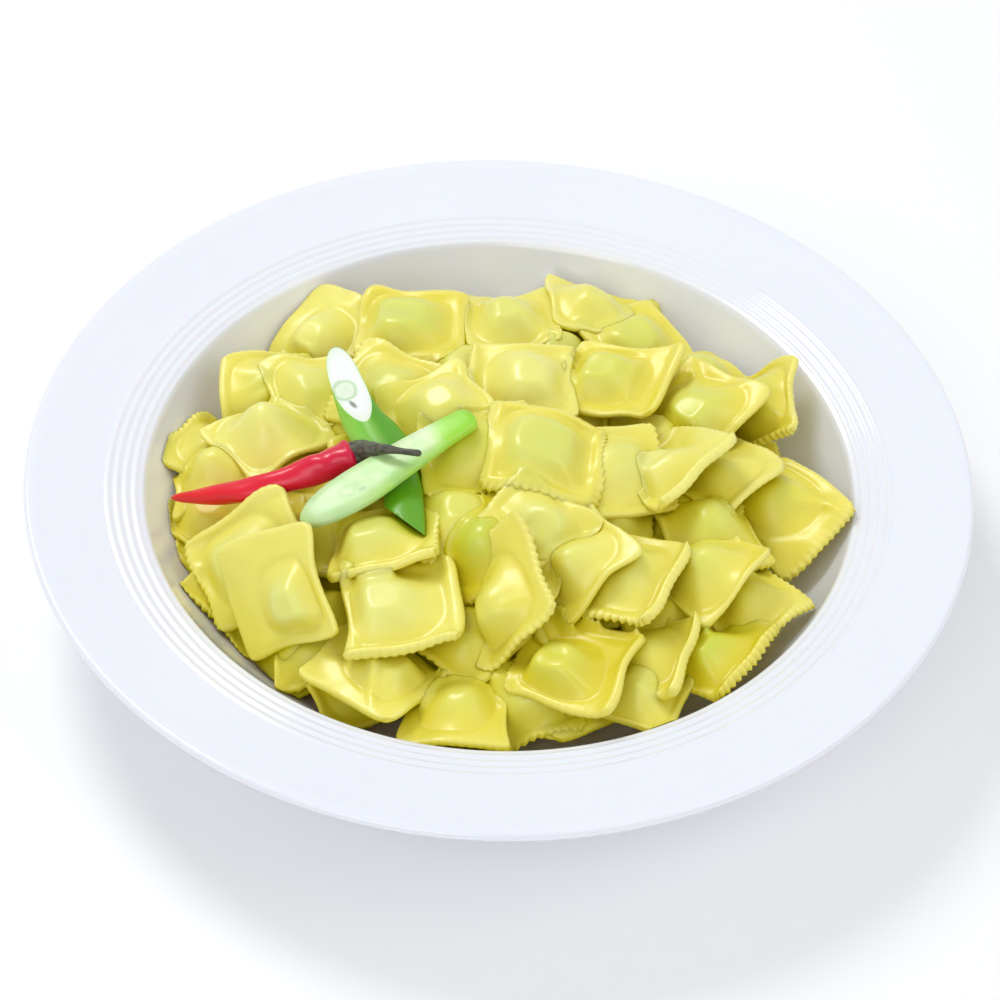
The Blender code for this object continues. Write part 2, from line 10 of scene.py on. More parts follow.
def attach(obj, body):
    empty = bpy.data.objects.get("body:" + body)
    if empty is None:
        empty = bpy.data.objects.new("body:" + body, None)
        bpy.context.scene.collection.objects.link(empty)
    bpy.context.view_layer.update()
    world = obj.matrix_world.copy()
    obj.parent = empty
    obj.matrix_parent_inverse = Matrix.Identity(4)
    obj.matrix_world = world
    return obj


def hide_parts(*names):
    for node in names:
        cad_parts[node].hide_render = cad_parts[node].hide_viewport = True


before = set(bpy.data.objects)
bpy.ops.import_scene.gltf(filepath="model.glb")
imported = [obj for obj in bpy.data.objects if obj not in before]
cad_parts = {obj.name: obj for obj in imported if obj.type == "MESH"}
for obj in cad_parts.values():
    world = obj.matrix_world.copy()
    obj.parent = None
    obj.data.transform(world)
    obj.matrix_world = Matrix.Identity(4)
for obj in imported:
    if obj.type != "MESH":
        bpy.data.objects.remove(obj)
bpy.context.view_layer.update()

mm = 0.001
scene = bpy.context.scene
scene.view_settings.view_transform = "Standard"


# Camera, floor and light

camera = {
    "place": (0.0, -0.53153, 0.57413),
    "pitch": 46.0665,   # degrees below level
    "yaw": 0.0505,
    "roll": 2.0363,
    "lens": 84.84,
}

studio = {
    "floorSize": 4.0,
    "floorColour": (0.99, 0.985, 0.98, 1.0),
    "worldColour": (0.94, 0.965, 1.0, 1.0),
    "worldStrength": 0.64,
    "keyPlace": (-0.55, 0.75, 1.25),
    "keySize": 0.55,
    "keyPower": 7.8,
    "fillPlace": (0.9, -0.25, 1.0),
    "fillSize": 0.9,
    "fillPower": 2.3,
    "frontPlace": (-0.35, -0.95, 0.9),
    "frontSize": 0.8,
    "frontPower": 2.8,
}


def makeCamera(values):
    down, yaw, roll = (math.radians(values[k]) for k in ("pitch", "yaw", "roll"))
    ahead = Vector((math.sin(yaw) * math.cos(down), math.cos(yaw) * math.cos(down), -math.sin(down)))
    level = ahead.cross(Vector((0, 0, 1))).normalized()
    upright = level.cross(ahead)
    right = level * math.cos(roll) + upright * math.sin(roll)
    above = upright * math.cos(roll) - level * math.sin(roll)
    turn = Matrix((right, above, -ahead)).transposed().to_4x4()
    data = bpy.data.cameras.new("camera")
    data.lens = values["lens"]
    data.sensor_width = 36.0
    data.clip_end = 20.0
    obj = bpy.data.objects.new("camera", data)
    obj.matrix_world = Matrix.Translation(values["place"]) @ turn
    scene.collection.objects.link(obj)
    scene.camera = obj


def addAreaLight(name, place, size, power, aim=(0, 0, 0.04)):
    data = bpy.data.lights.new(name, "AREA")
    data.shape = "DISK"
    data.size = size
    data.energy = power
    obj = bpy.data.objects.new(name, data)
    obj.location = place
    obj.rotation_euler = (Vector(aim) - Vector(place)).to_track_quat("-Z", "Y").to_euler()
    scene.collection.objects.link(obj)


def makeStudio(values):
    world = bpy.data.worlds.new("studio")
    world.use_nodes = True
    sky = world.node_tree.nodes["Background"]
    sky.inputs["Color"].default_value = values["worldColour"]
    sky.inputs["Strength"].default_value = values["worldStrength"]
    scene.world = world
    for name in ("key", "fill", "front"):
        addAreaLight(name, values[name + "Place"], values[name + "Size"], values[name + "Power"])
    bm = bmesh.new()
    bmesh.ops.create_grid(bm, x_segments=1, y_segments=1, size=values["floorSize"] / 2)
    floor = meshObject("floor", bm, plainMaterial("floor", values["floorColour"], 0.6))


# Helpers for meshes and materials

def meshObject(name, bm, material):
    mesh = bpy.data.meshes.new(name)
    bm.to_mesh(mesh)
    bm.free()
    obj = bpy.data.objects.new(name, mesh)
    scene.collection.objects.link(obj)
    mesh.materials.append(material)
    mesh.shade_smooth()
    return obj


def plainMaterial(name, colour, roughness):
    material = bpy.data.materials.new(name)
    material.use_nodes = True
    shader = material.node_tree.nodes["Principled BSDF"]
    shader.inputs["Base Color"].default_value = colour
    shader.inputs["Roughness"].default_value = roughness
    return material


class Shading:
    # a material with short calls for the nodes that the finishes here need
    def __init__(self, name):
        self.material = bpy.data.materials.new(name)
        self.material.use_nodes = True
        self.tree = self.material.node_tree
        self.shader = self.tree.nodes["Principled BSDF"]
        self.place = self.add("ShaderNodeTexCoord").outputs["Object"]

    def add(self, kind, **values):
        node = self.tree.nodes.new(kind)
        for key, value in values.items():
            setattr(node, key, value)
        return node

    def link(self, source, target):
        self.tree.links.new(source, target)

    def noise(self, scale, detail=3.0, roughness=0.5, stretch=(1, 1, 1)):
        mapping = self.add("ShaderNodeMapping")
        mapping.inputs["Scale"].default_value = stretch
        self.link(self.place, mapping.inputs["Vector"])
        node = self.add("ShaderNodeTexNoise")
        node.inputs["Scale"].default_value = scale
        node.inputs["Detail"].default_value = detail
        node.inputs["Roughness"].default_value = roughness
        self.link(mapping.outputs["Vector"], node.inputs["Vector"])
        return node.outputs["Fac"]

    def attribute(self, name):
        return self.add("ShaderNodeAttribute", attribute_name=name).outputs["Fac"]

    def ramp(self, source, stops):
        # each stop has its position and a colour, or one number for a grey
        node = self.add("ShaderNodeValToRGB")
        elements = node.color_ramp.elements
        while len(elements) < len(stops):
            elements.new(0.5)
        for element, (position, colour) in zip(elements, stops):
            element.position = position
            grey = isinstance(colour, float)
            element.color = (colour, colour, colour, 1.0) if grey else (*colour, 1.0)
        self.link(source, node.inputs["Fac"])
        return node.outputs["Color"]

    def mix(self, share, first, second):
        node = self.add("ShaderNodeMix", data_type="RGBA")
        for key, value in (("Factor", share), ("A", first), ("B", second)):
            self.plug(value, node.inputs[key])
        return node.outputs["Result"]

    def plug(self, value, socket):
        if isinstance(value, bpy.types.NodeSocket):
            self.link(value, socket)
        elif isinstance(value, tuple):
            socket.default_value = (*value, 1.0)
        else:
            socket.default_value = value

    def maths(self, operation, *values, clamp=False):
        node = self.add("ShaderNodeMath", operation=operation, use_clamp=clamp)
        for socket, value in zip(node.inputs, values):
            self.plug(value, socket)
        return node.outputs["Value"]

    def around(self, spot, size, ragged=0.0, turn=0.0):
        # how far a place is from a spot, 1 at the half sizes given; mm and degrees
        mapping = self.add("ShaderNodeMapping", vector_type="TEXTURE")
        mapping.inputs["Location"].default_value = [value * mm for value in spot]
        mapping.inputs["Rotation"].default_value = (0, 0, math.radians(turn))
        mapping.inputs["Scale"].default_value = [value * mm for value in size]
        self.link(self.place, mapping.inputs["Vector"])
        length = self.add("ShaderNodeVectorMath", operation="LENGTH")
        self.link(mapping.outputs["Vector"], length.inputs[0])
        wave = self.maths("MULTIPLY", self.maths("SUBTRACT", self.noise(300.0, 2.0), 0.5), ragged)
        return self.maths("ADD", length.outputs["Value"], wave)

    def bump(self, height, strength, distance):
        node = self.add("ShaderNodeBump")
        node.inputs["Strength"].default_value = strength
        node.inputs["Distance"].default_value = distance
        self.link(height, node.inputs["Height"])
        self.link(node.outputs["Normal"], self.shader.inputs["Normal"])

    def set(self, **values):
        for key, value in values.items():
            self.plug(value, self.shader.inputs[socketNames[key]])


socketNames = {
    "colour": "Base Color", "roughness": "Roughness", "ior": "IOR", "coat": "Coat Weight",
    "coatRoughness": "Coat Roughness", "subsurface": "Subsurface Weight",
    "subsurfaceScale": "Subsurface Scale", "specular": "Specular IOR Level",
}


def smoothStep(value):
    value = np.clip(value, 0.0, 1.0)
    return value * value * (3.0 - 2.0 * value)


def setFloatAttribute(mesh, name, values):
    attribute = mesh.attributes.new(name, "FLOAT", "POINT")
    attribute.data.foreach_set("value", np.ascontiguousarray(values, dtype=np.float32))


def readVertices(mesh):
    points = np.empty(len(mesh.vertices) * 3)
    mesh.vertices.foreach_get("co", points)
    return points.reshape(-1, 3)


def writeVertices(mesh, points):
    mesh.vertices.foreach_set("co", np.ascontiguousarray(points, dtype=np.float32).ravel())
    mesh.update()


# Plate

plate = {
    "steps": 192,
    "wallSteps": 30,
    "ridgeSteps": 8,     # for each ridge
    "edgeSteps": 8,
    "radius": 150 * mm,
    "rimTop": 45 * mm,
    "edgeThickness": 3.0 * mm,
    "floorTop": 7 * mm,
    "flatRadius": 60 * mm,
    "shoulderRadius": 113.5 * mm,
    "shoulderTop": 36.3 * mm,
    "wallPower": 3.6,
    "wallOffset": (3.2 * mm, 4.2 * mm),
    "ridges": 4,
    "ridgeStart": 114.6 * mm,
    "ridgePitch": 2.8 * mm,
    "ridgeHeight": 0.42 * mm,
    "foot": (71 * mm, 67 * mm, 65 * mm),
    "footRecess": 2.6 * mm,
}


def wellHeight(radius):
    v = plate
    if radius <= v["flatRadius"]:
        return v["floorTop"]
    share = (radius - v["flatRadius"]) / (v["shoulderRadius"] - v["flatRadius"])
    return v["floorTop"] + (v["shoulderTop"] - v["floorTop"]) * share ** v["wallPower"]


def rimHeight(radius):
    v = plate
    share = (radius - v["shoulderRadius"]) / (v["radius"] - v["shoulderRadius"])
    ridge = 0.0
    along = (radius - v["ridgeStart"]) / v["ridgePitch"]
    if 0.0 < along < v["ridges"]:
        ridge = v["ridgeHeight"] * math.sin(math.pi * (along % 1.0)) ** 2
    return v["shoulderTop"] + (v["rimTop"] - v["shoulderTop"]) * share + ridge


def platePoints():
    v = plate
    points = [(0.0, v["floorTop"]), (v["flatRadius"] / 2, v["floorTop"])]
    steps = v["wallSteps"]
    span = v["shoulderRadius"] - v["flatRadius"]
    wall = [v["flatRadius"] + span * (i / steps) ** 0.6 for i in range(steps + 1)]
    points += [(r, wellHeight(r)) for r in wall[:-1]]
    points.append((v["shoulderRadius"] - 0.15 * mm, v["shoulderTop"] - 0.25 * mm))
    points.append((v["shoulderRadius"] + 0.35 * mm, rimHeight(v["shoulderRadius"] + 0.35 * mm)))
    steps = v["ridgeSteps"] * v["ridges"]
    ridgeSpan = v["ridges"] * v["ridgePitch"]
    rim = [v["ridgeStart"] + ridgeSpan * i / steps for i in range(steps + 1)]
    points += [(r, rimHeight(r)) for r in rim + [132 * mm, 139 * mm, 145 * mm]]
    edge = v["edgeThickness"] / 2
    edgeR, edgeZ = v["radius"] - edge, v["rimTop"] - edge
    for i in range(v["edgeSteps"] + 1):
        angle = math.pi / 2 - math.pi * i / v["edgeSteps"]
        points.append((edgeR + edge * math.cos(angle), edgeZ + edge * math.sin(angle)))
    offsetR, offsetZ = v["wallOffset"]
    footOuter, footInner, recessRadius = v["foot"]
    points += [(r + offsetR, wellHeight(r) - offsetZ) for r in reversed(wall)
               if r + offsetR > footOuter + 4 * mm]
    points.append((footOuter + 1 * mm, v["floorTop"] - offsetZ))
    points.append((footOuter + 0.1 * mm, 0.5 * mm))
    points.append((footOuter - 0.4 * mm, 0.0))
    points.append((footInner, 0.0))
    points.append((recessRadius, v["footRecess"]))
    points.append((0.0, v["footRecess"]))
    return points


def porcelainFinish():
    s = Shading("porcelainGlaze")
    cloud = s.ramp(s.noise(9.0, 3.0), [(0.3, (0.86, 0.87, 0.94)), (0.7, (0.89, 0.90, 0.96))])
    s.set(colour=cloud, roughness=0.16, ior=1.5, coat=0.55, coatRoughness=0.05)
    s.set(subsurface=0.12, subsurfaceScale=0.02)
    s.bump(s.noise(60.0, 1.0), 0.12, 0.0004)
    return s.material


def makePlate():
    bm = bmesh.new()
    profile = [bm.verts.new((r, 0.0, z)) for r, z in platePoints()]
    line = [bm.edges.new(pair) for pair in zip(profile, profile[1:])]
    bmesh.ops.spin(bm, geom=profile + line, axis=(0, 0, 1), cent=(0, 0, 0), dvec=(0, 0, 0),
                   angle=2 * math.pi, steps=plate["steps"], use_merge=True)
    bmesh.ops.remove_doubles(bm, verts=bm.verts, dist=0.005 * mm)
    bmesh.ops.recalc_face_normals(bm, faces=bm.faces)
    obj = meshObject("pastaPlate", bm, porcelainFinish())
    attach(obj, "root")
    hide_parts("plate")
    print("plate made")
    return obj


# Ravioli

heap = {
    "top": 50 * mm,
    "edgeRadius": 105 * mm,
    "edgeDrop": 26 * mm,
    "power": 2.2,
    "coreBelow": 11 * mm,
    "coreRadius": 86 * mm,
    "shiftY": 5 * mm,
}

raviolo = {
    "cells": 58,
    "rimCells": 3,       # narrow cells at each rim, the rest are even
    "rimWidth": 0.05,
    "hiddenCells": 24,
    "perPiece": 13,      # how many are joined into one piece of the scene
    "fillingTop": 7.6 * mm,
    "fillingBottom": 3.4 * mm,
    "flange": 1.2 * mm,
    "edgeStart": 0.93,   # where the sheets start to round off towards the rim
    "fillingReach": 0.80,
    "softer": 1.12,      # draws the slope of every filling out a little
    "cornerCurl": 3.2 * mm,
    "bend": 2.4 * mm,
    "shear": 0.06,
    "stretch": 0.05,
    "teeth": 13,
    "toothDepth": 0.40 * mm,
    "crimpHeight": 0.16 * mm,
    "moat": 0.4 * mm,
    "ripple": 0.45 * mm,
    "edgeWave": 0.75 * mm,
    "cornerRound": 0.12,
    "wander": 0.05,      # how far the sides stray from straight, as a share of the half side
}

# name, x, y, lift above the dome, turn, lean, side it leans to, side length; mm and degrees
placed = [
    ("left_back_low", -76, 36, -3, 12, 26, -30, 35),
    ("left_low", -92, 14, -5, 60, 20, -10, 33),
    ("left_front_low", -90, -14, -5, 40, 15, -170, 33),
    ("front_left_slope", -76, -46, -5, 45, 26, -100, 36),
    ("front_low_a", -40, -78, -7, 30, 10, -60, 34),
    ("front_low_b", 26, -80, -6, 30, 10, -90, 34),
    ("front_low_c", 8, -84, -7, 15, 10, -90, 34),
    ("right_back_low", 66, 52, -1, 30, 14, 30, 35),
    ("under_leek_left", -60, 31, -2, 20, 10, -100, 36),
    ("middle_low", -10, -30, -4, 10, 10, 0, 36),
    ("front_left_low_a", -50, -68, -10, 0, 10, -110, 34),
    ("front_left_low_b", -60, -66, -10, 20, 20, -135, 34),
    ("back_left", -60, 66, 2, -32, 22, -160, 38),
    ("left_edge", -91, 2, -1, 15, 20, -180, 34),
    ("left_valley", -74, -27, -7, 20, 20, -150, 34),
    ("left_behind_chilli", -75, 11, 2, 38, 12, 130, 35),
    ("left_before_chilli", -76, -42, 4, 19, 40, -129, 38),
    ("left_leaning", -65, -59, 10, 7, 56, -132, 37),
    ("behind_leek", -38, 26, -1, -20, 10, -120, 36),
    ("under_slice", -35, -38, 1, 8, 20, 128, 36),
    ("middle_green", -5, -41, -1, 30, 20, -150, 35),
    ("front_folded", -35, -81, 0, 52, 10, 82, 36),
    ("front_square", -29, -65, 4, 9, 3, -100, 37),
    ("front_edge", -10, -90, -2, -2, 8, 90, 38),
    ("back_square", -31, 63, 2, 0, 4, -170, 37),
    ("back_middle", 2, 71, 0, 8, 8, 120, 36),
    ("back_right_low", 45, 66, -1, 35, 10, -40, 34),
    ("back_edge", 32, 82, 2, -3, 18, 52, 37),
    ("beside_leek", -21, 13, 2, 25, 20, -150, 36),
    ("beside_slice", -8, -6, 2, 10, 15, -120, 37),
    ("behind_top", 7, 29, 1, 6, 5, -80, 37),
    ("right_of_top", 37, 35, 1, -14, 8, -140, 37),
    ("right_back", 64, 29, 2, -44, 26, -168, 37),
    ("right_back_edge", 85, 36, 4, -10, 52, -174, 36),
    ("right_tilted", 70, 0, -1, 38, 24, 150, 36),
    ("right_under_top", 37, -9, 1, 15, 15, -20, 36),
    ("right_pale_edge", 54, -6, 3, 44, 30, 150, 36),
    ("right_edge", 90, -11, 3, -46, 26, -155, 37),
    ("right_dark", 68, -24, 0, 20, 12, 20, 35),
    ("right_zigzag", 39, -49, 1, -29, 24, 166, 36),
    ("middle_round", 24, -45, 0, 40, 35, -160, 34),
    ("middle_corner", 12, -38, 2, 55, 25, -70, 33),
    ("top", 14, -9, 6, -9, 10, -42, 38),
    ("right_front_edge", 77, -46, 0, 40, 18, 140, 34),
    ("right_front", 64, -43, 2, 40, 24, 150, 35),
    ("middle_upright", 2, -60, 2, -77, 56, -158, 37),
    ("front_right_edge", 65, -67, 0, -38, 22, 140, 35),
    ("front_right_band", 46, -71, -1, -26, 28, 165, 34),
    ("front_right_low", 42, -83, -1, -24, 14, 120, 34),
    ("front_large", 24, -80, 3, -24, 20, 168, 38),
]

smoothRim = (0.1, 0.1, 0.1, 0.1)   # hardly any teeth on the four sides

# what sets single pieces apart; bump is the middle of the filling on the sheet from -1 to 1,
# sides are left, right, front and back of the unturned piece, corners start front left and go round
# the low tones given here, for middle_green, front_large, front_right_edge and right_edge, are painted shade:
# darker pasta for pieces that lie in shade
styles = {
    "top": {"bump": (-0.15, 0.0), "slope": 0.42, "high": 0.8, "frame": 1.0, "teeth": (0.2, 1, 1, 0.2),
        "pinch": (0.10, 0.02, 0.02, 0.07), "folds": [(0.42, -0.5, 0.36, 0.6, 0.5, 0.10)], "green": 0.7},
    "back_square": {"bump": (-0.25, 0.1), "slope": 0.42, "high": 0.85, "frame": 0.5,
        "teeth": (0.1, 0.1, 1, 0.1), "pinch": (0.03, 0.03, 0.03, 0.02), "green": 0.8},
    "front_square": {"tone": 0.85, "bump": (-0.3, 0.1), "slope": 0.51, "high": 0.85, "frame": 0.5,
        "teeth": (0.1, 0.1, 0.5, 0.1), "pinch": (0.14, 0.02, 0.03, 0.03), "roll": (0, 0.6, 1.4, 0)},
    "left_leaning": {"tone": 0.75, "bump": (0.42, -0.35), "slope": 0.51, "wide": 0.75, "high": 1.1,
        "teeth": smoothRim, "pinch": (0.0, 0.10, 0.08, 0.02), "lift": (0, 2.5, 0, 0)},
    "left_behind_chilli": {"tone": 0.95, "bump": (-0.05, 0.0), "slope": 0.72, "wide": 1.15,
        "high": 1.45, "teeth": smoothRim, "pinch": (0.12, 0.10, 0.12, 0.12), "square": 2.3},
    "under_slice": {"bump": (-0.3, -0.25), "slope": 0.55, "high": 1.05, "teeth": (0.1, 1, 0.1, 0.1),
        "roll": (0, 0, 0.8, 0)},
    "front_folded": {"bump": (0.2, -0.3), "slope": 0.51, "wide": 0.8, "high": 0.85, "teeth": smoothRim,
        "pinch": (0.12, 0.14, 0.06, 0.04), "folds": [(-0.80, -0.52, 0.62, 0.50, 2.0, 0.09)],
        "second": (-0.35, 0.3, 2.0)},
    "front_edge": {"bump": (0.0, -0.05), "slope": 0.64, "wide": 0.85, "high": 1.0, "square": 2.2,
        "teeth": (0.1, 0.1, 0.2, 0.1), "pinch": (0.20, 0.18, 0.12, 0.10), "lift": (-1, -1.5, -2, -2)},
    "middle_upright": {"bump": (0.35, 0.0), "slope": 0.59, "wide": 0.85, "high": 1.2, "square": 2.5,
        "teeth": (0.1, 0.6, 0.1, 0.8), "pinch": (0.04, 0.02, 0.06, 0.02)},
    "middle_green": {"tone": 0.05, "bump": (0.0, -0.1), "slope": 0.68, "high": 1.2, "square": 2.2,
        "green": 1.0},
    "back_middle": {"bump": (-0.08, -0.3), "slope": 0.59, "high": 1.15, "teeth": (0.1, 0.1, 0.2, 0.1),
        "pinch": (0.10, 0.05, 0.05, 0.14), "green": 0.6},
    "back_edge": {"bump": (-0.15, -0.25), "slope": 0.59, "high": 1.1, "teeth": smoothRim,
        "pinch": (0.06, 0.08, 0.05, 0.18), "lift": (0, 0, 1, 3)},
    "behind_top": {"tone": 0.9, "bump": (0.15, -0.1), "slope": 0.55, "high": 1.0, "frame": 0.3,
        "teeth": (0.3, 0.1, 0.2, 0.3), "roll": (0.9, 0, 0, 0.4)},
    "right_of_top": {"bump": (-0.3, 0.0), "slope": 0.51, "wide": 0.9, "high": 1.05,
        "teeth": (0.1, 0.1, 0.1, 0.2), "roll": (0, 0.9, 0, 0),
        "folds": [(0.30, -0.7, 0.34, 0.7, 0.8, 0.10)]},
    "right_back": {"bump": (0.3, -0.3), "slope": 0.55, "high": 1.1, "teeth": (0.2, 0.1, 0.1, 0.1),
        "green": 0.7, "folds": [(0.0, 0.1, -0.8, 0.8, 1.1, 0.12), (0.1, 0.2, 0.5, 0.9, 0.8, 0.10)]},
    "right_back_edge": {"bump": (0.1, 0.1), "teeth": (0.1, 0.3, 1.2, 0.1), "roll": (0, 0, 1.0, 0)},
    "right_pale_edge": {"tone": 0.95, "bump": (-0.35, 0.05), "slope": 0.51, "wide": 0.85, "high": 1.1,
        "teeth": (0.1, 0.3, 0.3, 0.1), "pinch": (0.08, 0.04, 0.0, 0.10), "roll": (0, 0, 1.8, 0)},
    "right_tilted": {"bump": (-0.2, -0.1), "teeth": (0.1, 0.2, 0.2, 0.1), "green": 0.8},
    "right_edge": {"tone": 0.3, "bump": (-0.45, 0.3), "slope": 0.59, "wide": 0.9, "high": 1.15,
        "teeth": (0.1, 0.8, 0.2, 0.1), "pinch": (0.10, 0.0, 0.08, 0.03),
        "folds": [(0.1, 0.2, 0.7, 0.7, 0.9, 0.12)]},
    "right_dark": {"bump": (-0.3, 0.0), "slope": 0.64, "wide": 1.1, "high": 1.1,
        "teeth": (0.1, 0.1, 0.8, 0.1), "pinch": (0.10, 0.16, 0.06, 0.10), "green": 0.6},
    "right_zigzag": {"bump": (0.15, 0.05), "slope": 0.59, "high": 1.1, "teeth": (0.1, 0.3, 1.2, 0.1),
        "pinch": (0.04, 0.0, 0.0, 0.06), "roll": (0, 1.6, 0, 0), "green": 0.7},
    "right_front": {"bump": (-0.1, -0.05), "slope": 0.66, "wide": 1.1, "high": 1.25, "square": 2.3,
        "teeth": smoothRim, "pinch": (0.16, 0.12, 0.05, 0.12)},
    "middle_round": {"bump": (-0.1, -0.15), "slope": 0.68, "high": 1.2, "square": 2.2,
        "teeth": smoothRim, "pinch": (0.10, 0.10, 0.08, 0.12)},
    "middle_corner": {"bump": (0.0, 0.0), "teeth": (0.3, 0.1, 0.1, 0.3)},
    "front_large": {"tone": 0.15, "bump": (-0.15, -0.4), "slope": 0.50, "wide": 0.85, "high": 1.25,
        "teeth": (0.6, 0.1, 0.2, 0.1), "pinch": (0.04, 0.03, 0.10, 0.03), "roll": (0, 1.0, 0, 0.8)},
    "front_right_edge": {"tone": 0.05, "bump": (0.1, -0.35), "slope": 0.55, "high": 1.1,
        "teeth": (0.1, 1.2, 0.2, 0.1), "roll": (0, 1.6, 0, 0), "pinch": (0.06, 0.0, 0.08, 0.05)},
    "front_right_band": {"bump": (-0.1, -0.2), "slope": 0.55, "high": 1.0,
        "teeth": (0.1, 0.2, 0.2, 0.1), "roll": (0, 1.8, 0, 0)},
    "front_right_low": {"bump": (0.2, -0.2), "slope": 0.64, "high": 1.1, "teeth": smoothRim,
        "pinch": (0.10, 0.06, 0.16, 0.10)},
    "beside_leek": {"bump": (0.2, -0.1), "slope": 0.55, "high": 1.1, "teeth": (0.1, 0.1, 0.3, 0.1),
        "pinch": (0.06, 0.12, 0.05, 0.10), "folds": [(0.5, -0.2, 0.9, 0.8, 1.0, 0.12)]},
    "beside_slice": {"bump": (-0.1, 0.1), "slope": 0.59, "high": 0.95, "teeth": (0.1, 0.1, 1.2, 0.1)},
    "right_front_edge": {"bump": (-0.1, -0.1), "slope": 0.64, "high": 1.0,
        "teeth": (0.1, 0.6, 0.7, 0.1), "pinch": (0.06, 0.12, 0.02, 0.12)},
    "left_before_chilli": {"tone": 0.8, "over": True, "bump": (-0.3, 0.15), "slope": 0.51, "wide": 0.9,
        "high": 0.65, "teeth": (0.7, 0.1, 0.1, 0.2), "roll": (0.5, 0, 0, 0.8),
        "pinch": (0.10, 0.02, 0.05, 0.02)},
    "front_left_slope": {"bump": (0.1, 0.1), "teeth": (1.2, 0.2, 1.2, 0.2), "roll": (0.8, 0, 0.8, 0)},
    "left_edge": {"bump": (0.0, -0.1), "slope": 0.68, "high": 1.2, "square": 2.3, "teeth": smoothRim,
        "pinch": (0.08, 0.10, 0.12, 0.14)},
    "back_left": {"tone": 0.85, "bump": (-0.05, -0.38), "slope": 0.51, "wide": 0.8, "high": 1.2,
        "teeth": smoothRim, "pinch": (0.03, 0.08, 0.06, 0.03)},
    "behind_leek": {"bump": (0.15, 0.1), "slope": 0.64, "high": 0.9, "green": 0.7},
    "right_under_top": {"bump": (0.1, 0.1), "slope": 0.64, "green": 0.5},
}


def domeHeight(radius):
    v = heap
    return v["top"] - v["edgeDrop"] * (radius / v["edgeRadius"]) ** v["power"]


def pillowBase(cells, rimCells=0):
    # two sheets of a grid, joined at their rims, with the place on the sheet as coordinates
    bm = bmesh.new()
    bmesh.ops.create_grid(bm, x_segments=cells, y_segments=cells, size=1.0)
    bmesh.ops.translate(bm, verts=bm.verts, vec=(0, 0, 1))
    if rimCells:
        even = cells - 2 * rimCells
        width = raviolo["rimWidth"]
        inner = [(1 - width) * (2 * i / even - 1) for i in range(even + 1)]
        outer = [1 - width * (1 - i / rimCells) ** 1.6 for i in range(1, rimCells + 1)]
        line = [-value for value in reversed(outer)] + inner + outer
        for vert in bm.verts:
            vert.co.x = line[round((vert.co.x + 1) / 2 * cells)]
            vert.co.y = line[round((vert.co.y + 1) / 2 * cells)]
    copied = bmesh.ops.duplicate(bm, geom=bm.verts[:] + bm.edges[:] + bm.faces[:])["geom"]
    lower = [item for item in copied if isinstance(item, bmesh.types.BMVert)]
    bmesh.ops.translate(bm, verts=lower, vec=(0, 0, -2))
    bmesh.ops.reverse_faces(bm, faces=[item for item in copied if isinstance(item, bmesh.types.BMFace)])
    bmesh.ops.bridge_loops(bm, edges=[edge for edge in bm.edges if edge.is_boundary])
    bmesh.ops.recalc_face_normals(bm, faces=bm.faces)
    mesh = bpy.data.meshes.new("pillowBase")
    bm.to_mesh(mesh)
    bm.free()
    return mesh


def bySide(u, v, values):
    # blends four values, for left, right, front and back, by the side that a place is near
    left, right, front, back = values
    across = np.where(u < 0, left, right) * smoothStep((np.abs(u) - 0.70) / 0.25)
    along = np.where(v < 0, front, back) * smoothStep((np.abs(v) - 0.70) / 0.25)
    return np.maximum(across, along)


def ridgeAlong(u, v, fold):
    # a soft ridge along a short line on the sheet
    u1, v1, u2, v2, high, wide = fold
    length = (u2 - u1) ** 2 + (v2 - v1) ** 2
    t = np.clip(((u - u1) * (u2 - u1) + (v - v1) * (v2 - v1)) / length, 0, 1)
    away = (u - u1 - t * (u2 - u1)) ** 2 + (v - v1 - t * (v2 - v1)) ** 2
    return high * mm * np.exp(-away / wide ** 2) * np.sin(math.pi * np.clip(t * 0.8 + 0.1, 0, 1))


